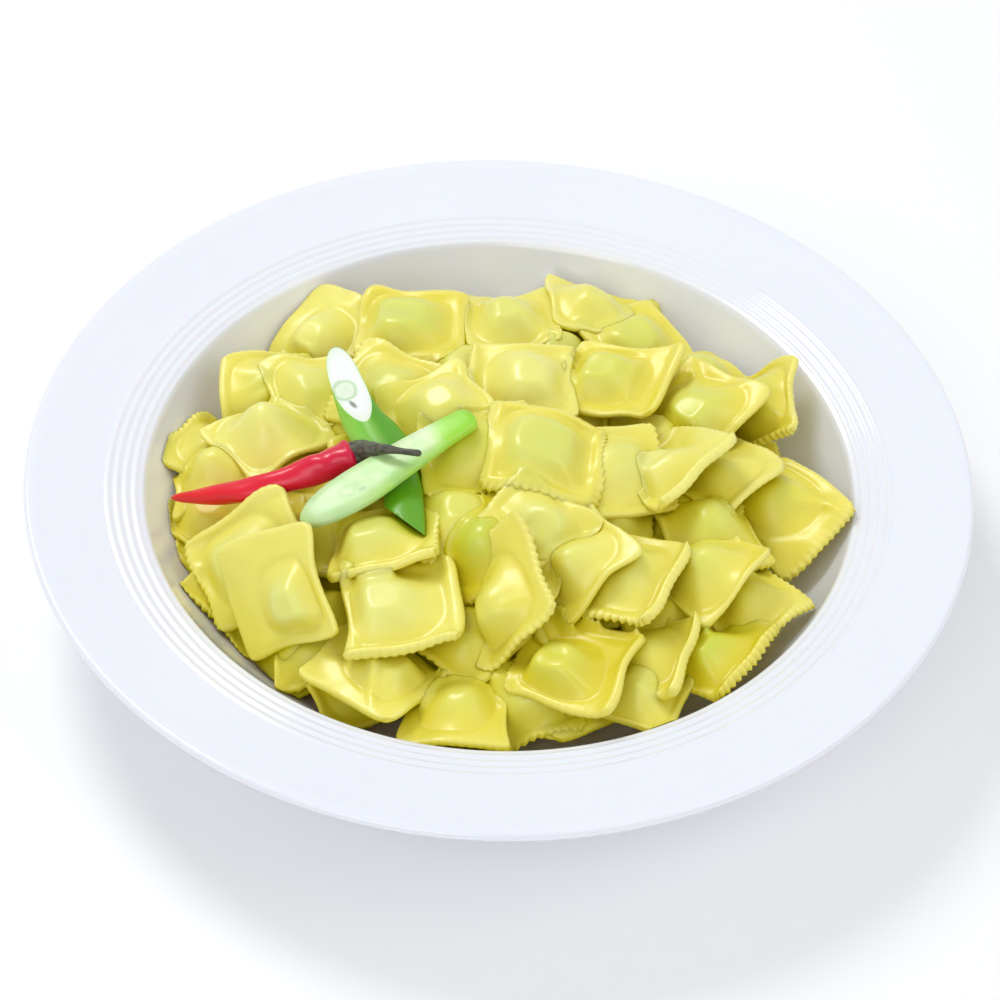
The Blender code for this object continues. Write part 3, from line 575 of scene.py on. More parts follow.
def shapeRaviolo(name, side, base, fine=True):
    # base holds u, v from -1 to 1 and +1 or -1 for the sheet; the first draws are the solid's own
    values = raviolo
    own = styles.get(name, {})
    draw = random.Random(name)
    stretch = draw.uniform(-values["stretch"], values["stretch"])
    shear = draw.uniform(-values["shear"], values["shear"])
    bendU = draw.uniform(-values["bend"], values["bend"] / 3)
    bendV = draw.uniform(-values["bend"], values["bend"] / 3)
    most = values["cornerCurl"]
    corners = {(i, j): draw.uniform(-most, most) for i in (-1, 1) for j in (-1, 1)}
    for place, lift in zip(((-1, -1), (1, -1), (1, 1), (-1, 1)), own.get("lift", (0, 0, 0, 0))):
        corners[place] += lift * mm
    more = random.Random("own " + name)
    bumpU, bumpV = own.get("bump", (more.uniform(-0.2, 0.2), more.uniform(-0.2, 0.2)))
    slope = own.get("slope", more.uniform(0.45, 0.6)) * values["softer"]
    high = own.get("high", more.uniform(0.85, 1.1))
    square = own.get("square", 2.7)
    pinch = own.get("pinch", tuple(more.uniform(0.02, 0.12) for _ in range(4)))
    teeth = own.get("teeth", tuple(more.choice((0.1, 0.1, 0.3, 0.9)) for _ in range(4)))
    roll = own.get("roll", (0, 0, 0, 0))
    u, v, sheet = base[:, 0], base[:, 1], np.sign(base[:, 2])
    upper = sheet > 0
    border = np.maximum(np.abs(u), np.abs(v))
    awayU = np.where(u > bumpU, (u - bumpU) / (1 - bumpU), (u - bumpU) / (1 + bumpU))
    awayV = np.where(v > bumpV, (v - bumpV) / (1 - bumpV), (v - bumpV) / (1 + bumpV))
    reach = (np.abs(awayU) ** square + np.abs(awayV) ** square) ** (1 / square) / own.get("wide", 1.0)
    share = smoothStep((values["fillingReach"] - reach) / slope)
    filling = np.where(upper, values["fillingTop"] * high, values["fillingBottom"])
    height = values["flange"] + (filling - values["flange"]) * share
    if "second" in own:
        secondU, secondV, secondHigh = own["second"]
        bump = np.exp(-((u - secondU) / 0.28) ** 2 - ((v - secondV) / 0.5) ** 2)
        height = height + secondHigh * mm * bump * upper
    curl = bendU * u * u + bendV * v * v
    for (i, j), lift in corners.items():
        curl = curl + lift * ((1 + i * u) * (1 + j * v) / 4) ** 2
    curl = curl + bySide(u, v, roll) * 1.2 * mm
    if fine:
        height = height - values["moat"] * np.exp(-((reach - values["fillingReach"]) / 0.07) ** 2) * upper
        ridge = bySide(u, v, roll) * np.exp(-((border - 0.88) / 0.10) ** 2)
        height = height + (own.get("frame", 0.0) * 1.1 * mm * np.exp(-((border - 0.82) / 0.09) ** 2)) * upper
        height = height + ridge * 0.8 * mm * upper
        for _ in range(draw.choice((1, 2, 2))):
            au, av = bumpU + draw.uniform(-0.5, 0.5), bumpV + draw.uniform(-0.5, 0.5)
            wide, depth = draw.uniform(0.24, 0.46), draw.uniform(-1.2, 0.7) * mm
            angle, thin = draw.uniform(0, math.pi), draw.uniform(0.35, 1.0)
            du = (u - au) * math.cos(angle) + (v - av) * math.sin(angle)
            dv = (v - av) * math.cos(angle) - (u - au) * math.sin(angle)
            dent = np.exp(-(du / wide) ** 2 - (dv / (wide * thin)) ** 2)
            height = height + depth * dent * share * upper
        for fold in own.get("folds", []):
            height = height + ridgeAlong(u, v, fold) * upper
        for _ in range(draw.choice((0, 1, 1))):
            i, j = draw.choice(((-1, -1), (1, -1), (1, 1), (-1, 1)))
            start, end = draw.uniform(0.25, 0.45), draw.uniform(0.75, 0.95)
            crease = (bumpU + i * start, bumpV + j * start * draw.uniform(0.5, 1.2),
                      i * end, j * end * draw.uniform(0.7, 1),
                      draw.uniform(-0.6, 0.8), draw.uniform(0.08, 0.14))
            height = height + ridgeAlong(u, v, crease) * upper
        for _ in range(5):
            angle, wave = draw.uniform(0, 2 * math.pi), draw.uniform(2.2, 5.0)
            start = draw.uniform(0, 2 * math.pi)
            rippled = np.sin((u * math.cos(angle) + v * math.sin(angle)) * wave + start)
            curl = curl + values["ripple"] * 0.5 * rippled * (0.35 + 0.65 * smoothStep((border - 0.35) / 0.5))
        around = np.arctan2(v, u)
        for lobes in (3, 5, 7):
            lobe = np.sin(around * lobes + draw.uniform(0, 2 * math.pi)) * draw.uniform(0.2, 1.0)
            curl = curl + values["edgeWave"] * 0.55 * lobe * smoothStep((border - 0.5) / 0.5)
        height = np.maximum(height, 0.7 * mm)
        start = values["edgeStart"]
        rounded = np.sqrt(np.clip(1 - (np.clip(border - start, 0, None) / (1.002 - start)) ** 2, 0.02, 1))
        height = height * np.where(border > start, rounded, 1)
    size = side / 2
    pinchU = np.where(u < 0, pinch[0], pinch[1])
    pinchV = np.where(v < 0, pinch[2], pinch[3])
    x = u * (1 + stretch) * (1.01 - pinchU * (1 - v * v) * u * u) + shear * v
    y = v * (1 - stretch) * (1.01 - pinchV * (1 - u * u) * v * v) + shear * u
    if fine:
        for waves, most in ((1.9, values["wander"]), (4.6, values["wander"] * 0.45)):
            x = x + most * np.sin(v * waves + draw.uniform(0, 6)) * np.abs(u) ** 3
            y = y + most * np.sin(u * waves + draw.uniform(0, 6)) * np.abs(v) ** 3
    rounding = values["cornerRound"] * (np.abs(u * v)) ** 5
    x, y = x * (1 - rounding) * size, y * (1 - rounding) * size
    z = sheet * height + curl
    if fine:
        onU = np.abs(u) >= np.abs(v)
        tooth = np.cos(np.where(onU, v, u) * math.pi * values["teeth"] / (1 - values["rimWidth"]))
        notched = bySide(u, v, teeth) * smoothStep((1.02 - np.minimum(np.abs(u), np.abs(v))) / 0.08)
        rim = smoothStep((border - 0.90) / 0.08)
        x = x + np.where(onU, np.sign(u), 0) * tooth * values["toothDepth"] * rim * notched
        y = y + np.where(onU, 0, np.sign(v)) * tooth * values["toothDepth"] * rim * notched
        crimp = smoothStep((border - 0.84) / 0.08) * notched
        z = z + sheet * tooth * values["crimpHeight"] * crimp
    return np.column_stack((x, y, z)), share


def placement(x, y, lift, turn, lean, leanTo):
    z = domeHeight(math.hypot(x, y) * mm) + lift * mm
    side = math.radians(leanTo)
    tilt = Matrix.Rotation(math.radians(lean), 4, Vector((-math.sin(side), math.cos(side), 0.0)))
    return Matrix.Translation((x * mm, y * mm, z)) @ tilt @ Matrix.Rotation(math.radians(turn), 4, "Z")


def moved(points, matrix):
    matrix = np.array(matrix)
    return points @ matrix[:3, :3].T + matrix[:3, 3]


# Each raviolo is let down on what lies under it, and bends a little over it

drape = {
    "nodes": 17,
    "clear": 0.15 * mm,
    "cover": 0.9 * mm,      # what stays of a piece over anything that presses up into it
    "rounds": 30,
    "sag": 0.15 * mm,
    "stiffness": 0.6,
    "mostSag": 2.2 * mm,
    "mostRise": 2.2 * mm,   # where more would be needed, the piece runs in under the other one
    "fineRounds": 12,
}


class Pile:
    # what is already lying there, as surfaces that can be probed from above
    def __init__(self):
        self.layers = []

    def add(self, points, faces):
        low, high = points.min(axis=0), points.max(axis=0)
        tree = BVHTree.FromPolygons(points.tolist(), faces)
        self.layers.append((low, high, tree))

    def heightAt(self, x, y):
        best = -1.0
        for low, high, tree in self.layers:
            if low[0] <= x <= high[0] and low[1] <= y <= high[1] and high[2] > best:
                hit = tree.ray_cast(Vector((x, y, 0.3)), Vector((0, 0, -1)))[0]
                if hit is not None and hit.z > best:
                    best = hit.z
        return best


def smoothed(field, stiffness):
    padded = np.pad(field, 1, mode="edge")
    around = (padded[:-2, 1:-1] + padded[2:, 1:-1] + padded[1:-1, :-2] + padded[1:-1, 2:]) / 4
    return field * (1 - stiffness) + around * stiffness


def drapeField(name, side, matrix, pile, ceiling):
    v = drape
    n = v["nodes"]
    line = np.linspace(-1, 1, n)
    gridV, gridU = np.meshgrid(line, line)
    flat = np.column_stack((gridU.ravel(), gridV.ravel(), -np.ones(n * n)))
    bottom = moved(shapeRaviolo(name, side, flat, fine=False)[0], matrix)
    flat[:, 2] = 1
    top = moved(shapeRaviolo(name, side, flat, fine=False)[0], matrix)
    rest = np.array([pile.heightAt(x, y) for x, y, z in bottom])
    touching = (rest + v["clear"] - bottom[:, 2]).reshape(n, n)
    poking = (rest + v["cover"] - top[:, 2]).reshape(n, n)
    poking = np.where(poking > v["mostRise"], -1.0, poking)
    lowest = np.maximum(poking, np.clip(touching, -v["mostSag"], 0.0))
    room = np.array([ceiling(x, y) for x, y, z in top])
    most = (room - 0.3 * mm - top[:, 2]).reshape(n, n)
    field = np.zeros((n, n))
    for _ in range(v["rounds"]):
        field = np.clip(field - v["sag"], -v["mostSag"], v["mostRise"])
        field = np.minimum(np.maximum(field, lowest), most)
        for _ in range(2):
            field = smoothed(field, v["stiffness"])
    return field


def spreadMatrix(line, coarseCount):
    # cubic weights that carry the coarse bend to the fine grid
    places = (line + 1) / 2 * (coarseCount - 1)
    weights = np.zeros((len(line), coarseCount))
    for row, place in enumerate(places):
        start = min(int(place), coarseCount - 2)
        t = place - start
        cubic = ((1 - t) ** 3 / 6, (3 * t ** 3 - 6 * t ** 2 + 4) / 6,
                 (-3 * t ** 3 + 3 * t ** 2 + 3 * t + 1) / 6, t ** 3 / 6)
        for offset, weight in zip((-1, 0, 1, 2), cubic):
            weights[row, min(max(start + offset, 0), coarseCount - 1)] += weight
    return weights


def pastaMaterial():
    s = Shading("freshPasta")
    # tone mixes a darker and a paler pasta: drawn at random for most pieces, and set low as painted shade on
    # pieces that lie in shade
    tone = s.attribute("tone")
    patches = s.maths("MULTIPLY_ADD", s.noise(110.0, 2.0), 1.0, 0.5)
    inside = s.maths("MULTIPLY", s.attribute("filling"), patches, clamp=True)
    greener = s.maths("MULTIPLY_ADD", s.attribute("green"), 0.9, 0.35)
    inside = s.maths("MULTIPLY", inside, greener, clamp=True)
    skin = s.mix(tone, (0.83, 0.72, 0.03), (0.96, 0.89, 0.20))
    centre = s.mix(tone, (0.62, 0.71, 0.055), (0.88, 0.88, 0.27))
    body = s.mix(inside, skin, centre)
    # the sheets turn paler towards their rims
    paleRim = s.mix(s.maths("MULTIPLY", s.attribute("rim"), 0.5), body, (0.98, 0.88, 0.28))
    mottled = s.mix(s.maths("MULTIPLY", s.noise(420.0, 2.0), 0.16), paleRim, (0.90, 0.66, 0.05))
    # painted shade: where ambient occlusion finds the pasta closed in, its colour is pulled towards a dark
    # amber, and coat and specular are weakened there
    shade = s.add("ShaderNodeAmbientOcclusion", samples=1)
    shade.inputs["Distance"].default_value = 18 * mm
    creviceShadeShare = s.maths("SUBTRACT", 1.0, shade.outputs["AO"])
    paintedCreviceShade = s.mix(s.maths("MULTIPLY", creviceShadeShare, 1.05, clamp=True), mottled, (0.66, 0.56, 0.0))
    s.set(colour=paintedCreviceShade, ior=1.42, coatRoughness=0.29, subsurface=0.4, subsurfaceScale=0.003)
    bare = s.maths("POWER", shade.outputs["AO"], 1.6)
    s.set(coat=s.maths("MULTIPLY", bare, 0.85), specular=s.maths("MULTIPLY", bare, 0.55))
    s.shader.inputs["Subsurface Radius"].default_value = (1.0, 0.8, 0.25)
    s.set(roughness=s.maths("MULTIPLY_ADD", s.noise(230.0, 1.0), 0.2, 0.3))
    s.bump(s.noise(900.0, 2.0, 0.6), 0.3, 0.0003)
    return s.material


def keepInPlate(points, sheet):
    # what would stick into the wall is drawn back towards the middle, and lifted off the floor and the rim
    v = plate
    clear = np.where(sheet > 0, 1.1 * mm, 0.5 * mm)
    radius = np.maximum(np.hypot(points[:, 0], points[:, 1]), 1e-6)
    height = np.maximum(points[:, 2], v["floorTop"] + clear)
    onRim = radius > v["shoulderRadius"]
    slope = (v["rimTop"] - v["shoulderTop"]) / (v["radius"] - v["shoulderRadius"])
    rim = v["shoulderTop"] + slope * (radius - v["shoulderRadius"]) + v["ridgeHeight"] + clear
    close = onRim & (height > v["shoulderTop"])
    height = np.where(close, np.maximum(height, rim), height)
    share = (height - clear - v["floorTop"]) / (v["shoulderTop"] - v["floorTop"])
    outward = np.clip(share, 0, 1) ** (1 / v["wallPower"])
    most = v["flatRadius"] + (v["shoulderRadius"] - v["flatRadius"]) * outward
    kept = np.where(share < 1, np.minimum(radius, most), radius)
    return np.column_stack((points[:, 0] * kept / radius, points[:, 1] * kept / radius, height))


def makeRavioloMesh(row, base, basePoints, pile, ceiling, material):
    name, x, y, lift, turn, lean, leanTo, side = row
    matrix = placement(x, y, lift, turn, lean, leanTo)
    own = styles.get(name, {})
    if own.get("over"):
        ceiling = openAbove
    field = drapeField(name, side * mm, matrix, pile, ceiling)
    points, share = shapeRaviolo(name, side * mm, basePoints)
    points = moved(points, matrix)
    line = np.unique(np.round(basePoints[:, 0], 6))
    column = np.searchsorted(line, np.round(basePoints[:, 0], 6) - 1e-7)
    level = np.searchsorted(line, np.round(basePoints[:, 1], 6) - 1e-7)
    spread = spreadMatrix(line, drape["nodes"])
    fine = spread @ field @ spread.T
    over = np.flatnonzero(basePoints[:, 2] > 0)
    lowest = np.full(fine.shape, -1.0)
    for i in over:
        support = pile.heightAt(points[i, 0], points[i, 1])
        poking = support + drape["cover"] * 0.6 - points[i, 2]
        if poking < drape["mostRise"]:
            lowest[level[i], column[i]] = poking
    for _ in range(drape["fineRounds"]):
        fine = smoothed(np.maximum(fine, lowest), 0.8)
    fine = np.maximum(fine, lowest - drape["cover"] * 0.35)
    highest = np.full(fine.shape, 1.0)
    for i in over:
        highest[level[i], column[i]] = ceiling(points[i, 0], points[i, 1]) - 0.3 * mm - points[i, 2]
    pressed = fine
    if (fine > highest).any():
        for _ in range(drape["fineRounds"]):
            pressed = smoothed(np.minimum(pressed, highest), 0.7)
        pressed = np.minimum(pressed, highest)
    points[:, 2] += pressed[level, column]
    points = keepInPlate(points, basePoints[:, 2])
    mesh = base.copy()
    mesh.name = name
    writeVertices(mesh, points)
    border = np.maximum(np.abs(basePoints[:, 0]), np.abs(basePoints[:, 1]))
    setFloatAttribute(mesh, "filling", share)
    setFloatAttribute(mesh, "rim", smoothStep((border - 0.8) / 0.2))
    # tone is drawn at random unless a style gives it; a low tone from a style is painted shade on a piece
    # that lies in shade
    for key, low, high in (("tone", 0.3, 0.75), ("green", 0.1, 0.8)):
        value = own.get(key, random.Random(f"{key} {name}").uniform(low, high))
        setFloatAttribute(mesh, key, np.full(len(points), value))
    faces = [tuple(polygon.vertices) for polygon in mesh.polygons]
    pile.add(points, faces)
    mesh.materials.append(material)
    mesh.shade_smooth()
    obj = bpy.data.objects.new(name, mesh)
    scene.collection.objects.link(obj)
    return obj


def joined(objects, name):
    with bpy.context.temp_override(active_object=objects[0], object=objects[0], selected_objects=objects,
                                   selected_editable_objects=objects):
        bpy.ops.object.join()
    objects[0].name = name
    return objects[0]


def coreSurface():
    # a low mound, the heap's own core, under every raviolo
    v = heap
    bm = bmesh.new()
    steps = 24
    profile = []
    for i in range(steps + 1):
        radius = v["coreRadius"] * i / steps
        drop = smoothStep((i / steps - 0.86) / 0.14)
        top = domeHeight(radius) - v["coreBelow"]
        profile.append(bm.verts.new((radius, 0, top + (wellHeight(radius) + 0.6 * mm - top) * float(drop))))
    profile.append(bm.verts.new((v["coreRadius"], 0, wellHeight(v["coreRadius"]) + 0.4 * mm)))
    profile.append(bm.verts.new((v["coreRadius"] * 0.6, 0, plate["floorTop"] + 0.3 * mm)))
    profile.append(bm.verts.new((0, 0, plate["floorTop"] + 0.3 * mm)))
    line = [bm.edges.new(pair) for pair in zip(profile, profile[1:])]
    bmesh.ops.spin(bm, geom=profile + line, axis=(0, 0, 1), cent=(0, 0, 0), dvec=(0, 0, 0),
                   angle=2 * math.pi, steps=96, use_merge=True)
    bmesh.ops.remove_doubles(bm, verts=bm.verts, dist=0.005 * mm)
    bmesh.ops.translate(bm, verts=bm.verts, vec=(0, v["shiftY"] * 0.5, 0))
    bmesh.ops.recalc_face_normals(bm, faces=bm.faces)
    return bm


def objectLayer(pile, obj):
    points = readVertices(obj.data)
    pile.add(points, [tuple(polygon.vertices) for polygon in obj.data.polygons])


# lower ravioli that only show through the gaps, on a spiral; mm and degrees
hidden = {
    "count": 26,
    "reach": 88,
    "step": 137.5,
    "shiftY": 2,
    "lift": (-9.5, -8.0),
    "turn": (-45, 45),
    "lean": (3, 14),
    "side": 34,
}


def hiddenRows():
    v = hidden
    draw = random.Random("hidden layer")
    rows = []
    for i in range(v["count"]):
        radius = v["reach"] * math.sqrt((i + 0.5) / v["count"])
        angle = math.radians(i * v["step"])
        x, y = radius * math.cos(angle), radius * math.sin(angle) + v["shiftY"]
        rows.append((f"hidden_{i}", x, y, draw.uniform(*v["lift"]), draw.uniform(*v["turn"]),
                     draw.uniform(*v["lean"]), draw.uniform(-180, 180), v["side"]))
    return rows


def toppingCeiling(objects):
    # the underside of the toppings, which press into what lies under them
    trees = []
    for obj in objects:
        points = readVertices(obj.data)
        low, high = points.min(axis=0), points.max(axis=0)
        faces = [tuple(polygon.vertices) for polygon in obj.data.polygons]
        trees.append((low, high, BVHTree.FromPolygons(points.tolist(), faces)))

    def ceiling(x, y):
        best = 1.0
        for low, high, tree in trees:
            if low[0] <= x <= high[0] and low[1] <= y <= high[1]:
                hit = tree.ray_cast(Vector((x, y, 0.0)), Vector((0, 0, 1)))[0]
                if hit is not None:
                    best = min(best, hit.z)
        return best

    return ceiling


def openAbove(x, y):
    # for a raviolo that stands in front of the toppings and over them
    return 1.0


# Toppings: each is a ball drawn out along a line

def curvePoint(line, t):
    # a smooth curve through the points, t from 0 to 1
    points = [Vector(point[:3]) for point in line]
    place = t * (len(points) - 1)
    start = min(int(place), len(points) - 2)
    f = place - start
    p1, p2 = points[start], points[start + 1]
    p0 = points[start - 1] if start else p1 * 2 - p2
    p3 = points[start + 2] if start + 2 < len(points) else p2 * 2 - p1
    return (p1 * 2 + (p2 - p0) * f + (p0 * 2 - p1 * 5 + p2 * 4 - p3) * f * f
            + (p1 * 3 - p0 - p2 * 3 + p3) * f * f * f) / 2


def halvesAlong(line, t):
    # half width and half height of a line whose points hold them too
    widths = curvePoint([(wide, tall, 0.0) for x, y, z, wide, tall in line], t)
    return widths.x, widths.y


def curveFrame(line, t):
    # the directions sideways and upwards of the line
    ahead = curvePoint(line, min(t + 0.01, 1.0)) - curvePoint(line, max(t - 0.01, 0.0))
    ahead.normalize()
    aside = ahead.cross(Vector((0, 0, 1))).normalized()
    return aside, aside.cross(ahead)


def bodyAlong(line, rings, around, halves, flat=1.0):
    # halves(t, angle) gives the half width and half height in mm; returns the mesh and t of each vertex;
    # flat under 1 makes the section squarer
    bm = bmesh.new()
    bmesh.ops.create_uvsphere(bm, u_segments=around, v_segments=rings, radius=1.0)
    bmesh.ops.recalc_face_normals(bm, faces=bm.faces)
    places = []
    for vert in bm.verts:
        polar = math.acos(max(-1.0, min(1.0, vert.co.z))) / math.pi
        angle = math.atan2(vert.co.y, vert.co.x)
        t = min(1.0, max(0.0, polar))
        aside, above = curveFrame(line, t)
        wide, tall = halves(t, angle)
        if t < 1e-4 or t > 1 - 1e-4:
            wide = tall = 0.0
        centre = curvePoint(line, t)
        sideways = math.copysign(abs(math.cos(angle)) ** flat, math.cos(angle))
        upwards = math.copysign(abs(math.sin(angle)) ** flat, math.sin(angle))
        vert.co = (centre + aside * wide * sideways + above * tall * upwards) * mm
        places.append((t, angle))
    return bm, places


def dome(t, first, last):
    # rounds off both ends of a body: 0 at the ends, 1 between
    start = min(1.0, t / first) if first else 1.0
    end = min(1.0, (1 - t) / last) if last else 1.0
    return math.sqrt(max(0.0, 1 - (1 - start) ** 2)) * math.sqrt(max(0.0, 1 - (1 - end) ** 2))


chilli = {
    "line": [(-45.4, -10.8, 52.1), (-52, -13.6, 50.8), (-59, -16, 49), (-74, -20, 45), (-89, -19, 40),
             (-103.5, -17, 35.8)],
    "radius": 5.35,
    "rings": 120,
    "around": 40,
    "stemRings": 90,
    "stemAround": 30,
    "stemLine": [(-47.6, -11.6, 51.7), (-45.5, -10.8, 52.1), (-43.6, -10.1, 52.6), (-40.5, -12.5, 55.5),
                 (-36.5, -16, 60), (-30, -19, 62.2), (-24, -21, 63.5)],
    "stemRadii": [3.9, 4.0, 3.7, 3.0, 1.6, 1.0, 1.1],
}


def chilliHalves(t, angle):
    shoulder = min(1.0, 0.78 + 4 * t)
    taper = 1 - 0.54 * t ** 1.6
    dents = 0.05 * math.sin(3 * angle + 9 * t) + 0.045 * math.sin(19 * t + 1)
    dents += 0.035 * math.sin(31 * t + 2 * angle)
    radius = chilli["radius"] * taper * shoulder * (1 + dents) * dome(t, 0.035, 0.24)
    return radius, radius * 0.94


def stemHalves(t, angle):
    radii = chilli["stemRadii"]
    place = t * (len(radii) - 1)
    start = min(int(place), len(radii) - 2)
    radius = radii[start] + (radii[start + 1] - radii[start]) * float(smoothStep(place - start))
    radius *= 1 + 0.12 * math.sin(5 * angle + 1) * max(0.0, 1 - t / 0.6)
    radius *= dome(t, 0.06, 0.04)
    return radius, radius


def chilliFinish():
    s = Shading("redChilli")
    body = s.ramp(s.attribute("along"), [(0.0, (0.72, 0.0, 0.05)), (0.5, (0.84, 0.0, 0.035)),
                                         (0.80, (0.90, 0.003, 0.008)), (1.0, (0.84, 0.018, 0.003))])
    streaks = s.mix(s.maths("MULTIPLY", s.noise(70.0, 3.0, stretch=(1, 4, 4)), 0.3), body, (0.55, 0.0, 0.03))
    s.set(colour=streaks, roughness=0.28, coat=0.22, coatRoughness=0.12)
    s.set(subsurface=0.12, subsurfaceScale=0.002)
    s.bump(s.noise(160.0, 3.0), 0.25, 0.0006)
    return s.material


def stemFinish():
    s = Shading("driedStem")
    tint = s.ramp(s.noise(260.0, 4.0, stretch=(1, 3, 3)),
                  [(0.3, (0.035, 0.032, 0.028)), (0.62, (0.12, 0.12, 0.075)), (0.8, (0.26, 0.25, 0.17))])
    s.set(colour=tint, roughness=0.5)
    s.bump(s.noise(300.0, 3.0), 0.3, 0.0004)
    return s.material


def makeChilli():
    bm, places = bodyAlong(chilli["line"], chilli["rings"], chilli["around"], chilliHalves)
    pod = meshObject("chilliPod", bm, chilliFinish())
    setFloatAttribute(pod.data, "along", np.array([t for t, angle in places]))
    bm = bodyAlong(chilli["stemLine"], chilli["stemRings"], chilli["stemAround"], stemHalves)[0]
    stem = meshObject("chilliStem", bm, stemFinish())
    for obj, node, slot in ((pod, "chilli_pod", "chilli"), (stem, "chilli_stem", "chilli_stem")):
        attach(obj, "root")
        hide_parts(node)
    return [pod, stem]


# x, y, z, half width, half height
onion = {
    "line": [(-54.5, 30.5, 64, 5.3, 5.2), (-50, 17.9, 56, 5.3, 5.2), (-44.9, 8, 50.4, 6.7, 4.6),
             (-39.7, 1, 48.7, 8.2, 3.6), (-35.5, -5, 48, 8.0, 3.1), (-32.5, -12, 47.4, 6.6, 2.9),
             (-30.3, -20, 47.8, 6.2, 2.9), (-29.2, -28, 48.4, 6.2, 2.9), (-28, -42, 48.4, 6.2, 2.9),
             (-27.5, -48, 48.4, 6.2, 2.9)],
    "upperCut": ((-50, 17.9, 56), (0.043, -0.165, 0.985)),
    "upperCutFrom": -4.0,
    "cutRings": 9,
    "measureSteps": 60,
    "lowerCut": ((-28.5, -37.3, 50.5), (-0.55, -0.62, -0.56)),
    "slice": [(-60, -38.5, 48.9, 7.4, 1.8), (-52, -33, 51.5, 7.7, 2.0), (-41, -25, 54, 7.6, 2.0),
              (-28, -15, 57, 6.4, 2.0), (-17, -6.7, 59.2, 5.1, 2.0), (-8.5, -0.6, 60.6, 4.5, 1.9)],
    "sliceTips": (0.42, 0.07),
    "hollow": (-50.2, 14.6, 55.4),       # the hollow heart of the white cut
    "hollowSize": (5.0, 5.3, 60),
    "speck": (-47.3, 9.1, 54.2),
    "speckSize": (2.3, 1.0, 60),
    "heart": (-46.2, -29.3, 54),         # the ring that shows through the slice
    "heartSize": (4.6, 3.0, 60),
    "stain": (-41.8, -29.0, 54),
    "stainSize": (1.9, 1.2, 60),
}


def onionHalves(t, angle):
    return halvesAlong(onion["line"], t)


def sliceHalves(t, angle):
    wide, tall = halvesAlong(onion["slice"], t)
    wide *= dome(t, onion["sliceTips"][0], onion["sliceTips"][1])
    return wide, tall * dome(t, 0.10, 0.05)


def onionFinish():
    s = Shading("springOnionTube")
    v = onion
    skin = s.ramp(s.attribute("along"), [(0.0, (0.50, 0.76, 0.30)), (0.2, (0.15, 0.47, 0.02)),
                                         (0.45, (0.10, 0.38, 0.01)), (0.75, (0.11, 0.36, 0.005)),
                                         (1.0, (0.13, 0.40, 0.005))])
    # painted light across the upper tube: a pale highlight band just off the middle, one side darker green
    # and the other lighter
    wave = s.maths("MULTIPLY", s.maths("SUBTRACT", s.noise(70.0, 2.0), 0.5), 0.25)
    across = s.maths("ADD", s.attribute("aside"), wave)
    lit = s.ramp(across, [(0.42, (0.10, 0.38, 0.01)), (0.56, (0.26, 0.58, 0.09)), (0.64, (0.42, 0.74, 0.22)),
                          (0.72, (0.22, 0.62, 0.05)), (0.95, (0.36, 0.76, 0.08))])
    upper = s.ramp(s.attribute("along"), [(0.36, 0.9), (0.52, 0.0)])
    streaks = s.maths("MULTIPLY", s.noise(240.0, 3.0, stretch=(6, 0.6, 1)), 0.2)
    fibresOverPaintedLight = s.mix(streaks, s.mix(upper, skin, lit), (0.26, 0.62, 0.03))
    rind = s.ramp(s.attribute("cutFace"), [(0.0, (0.66, 0.86, 0.50)), (0.2, (0.88, 0.95, 0.82)),
                                           (0.36, (0.95, 0.975, 0.93))])
    hollow = s.around(v["hollow"], v["hollowSize"], 0.35)
    ring = s.ramp(hollow, [(0.0, (0.80, 0.91, 0.70)), (0.55, (0.83, 0.93, 0.75)), (0.68, (0.52, 0.72, 0.42)),
                           (0.76, (0.70, 0.84, 0.62)), (0.88, (0.95, 0.975, 0.93))])
    near = s.ramp(hollow, [(0.86, 0.9), (0.94, 0.0)])
    faint = s.maths("MULTIPLY", near, s.maths("MULTIPLY_ADD", s.noise(200.0, 2.0), 1.2, 0.5), clamp=True)
    white = s.mix(faint, rind, ring)
    speck = s.ramp(s.around(v["speck"], v["speckSize"], 0.3, -44), [(0.45, 0.85), (1.0, 0.0)])
    whole = s.mix(s.attribute("cutShare"), fibresOverPaintedLight, s.mix(speck, white, (0.16, 0.22, 0.12)))
    s.set(colour=whole, roughness=0.3, coat=0.3, coatRoughness=0.15)
    s.set(subsurface=0.3, subsurfaceScale=0.002)
    s.bump(s.noise(500.0, 3.0), 0.2, 0.0003)
    return s.material


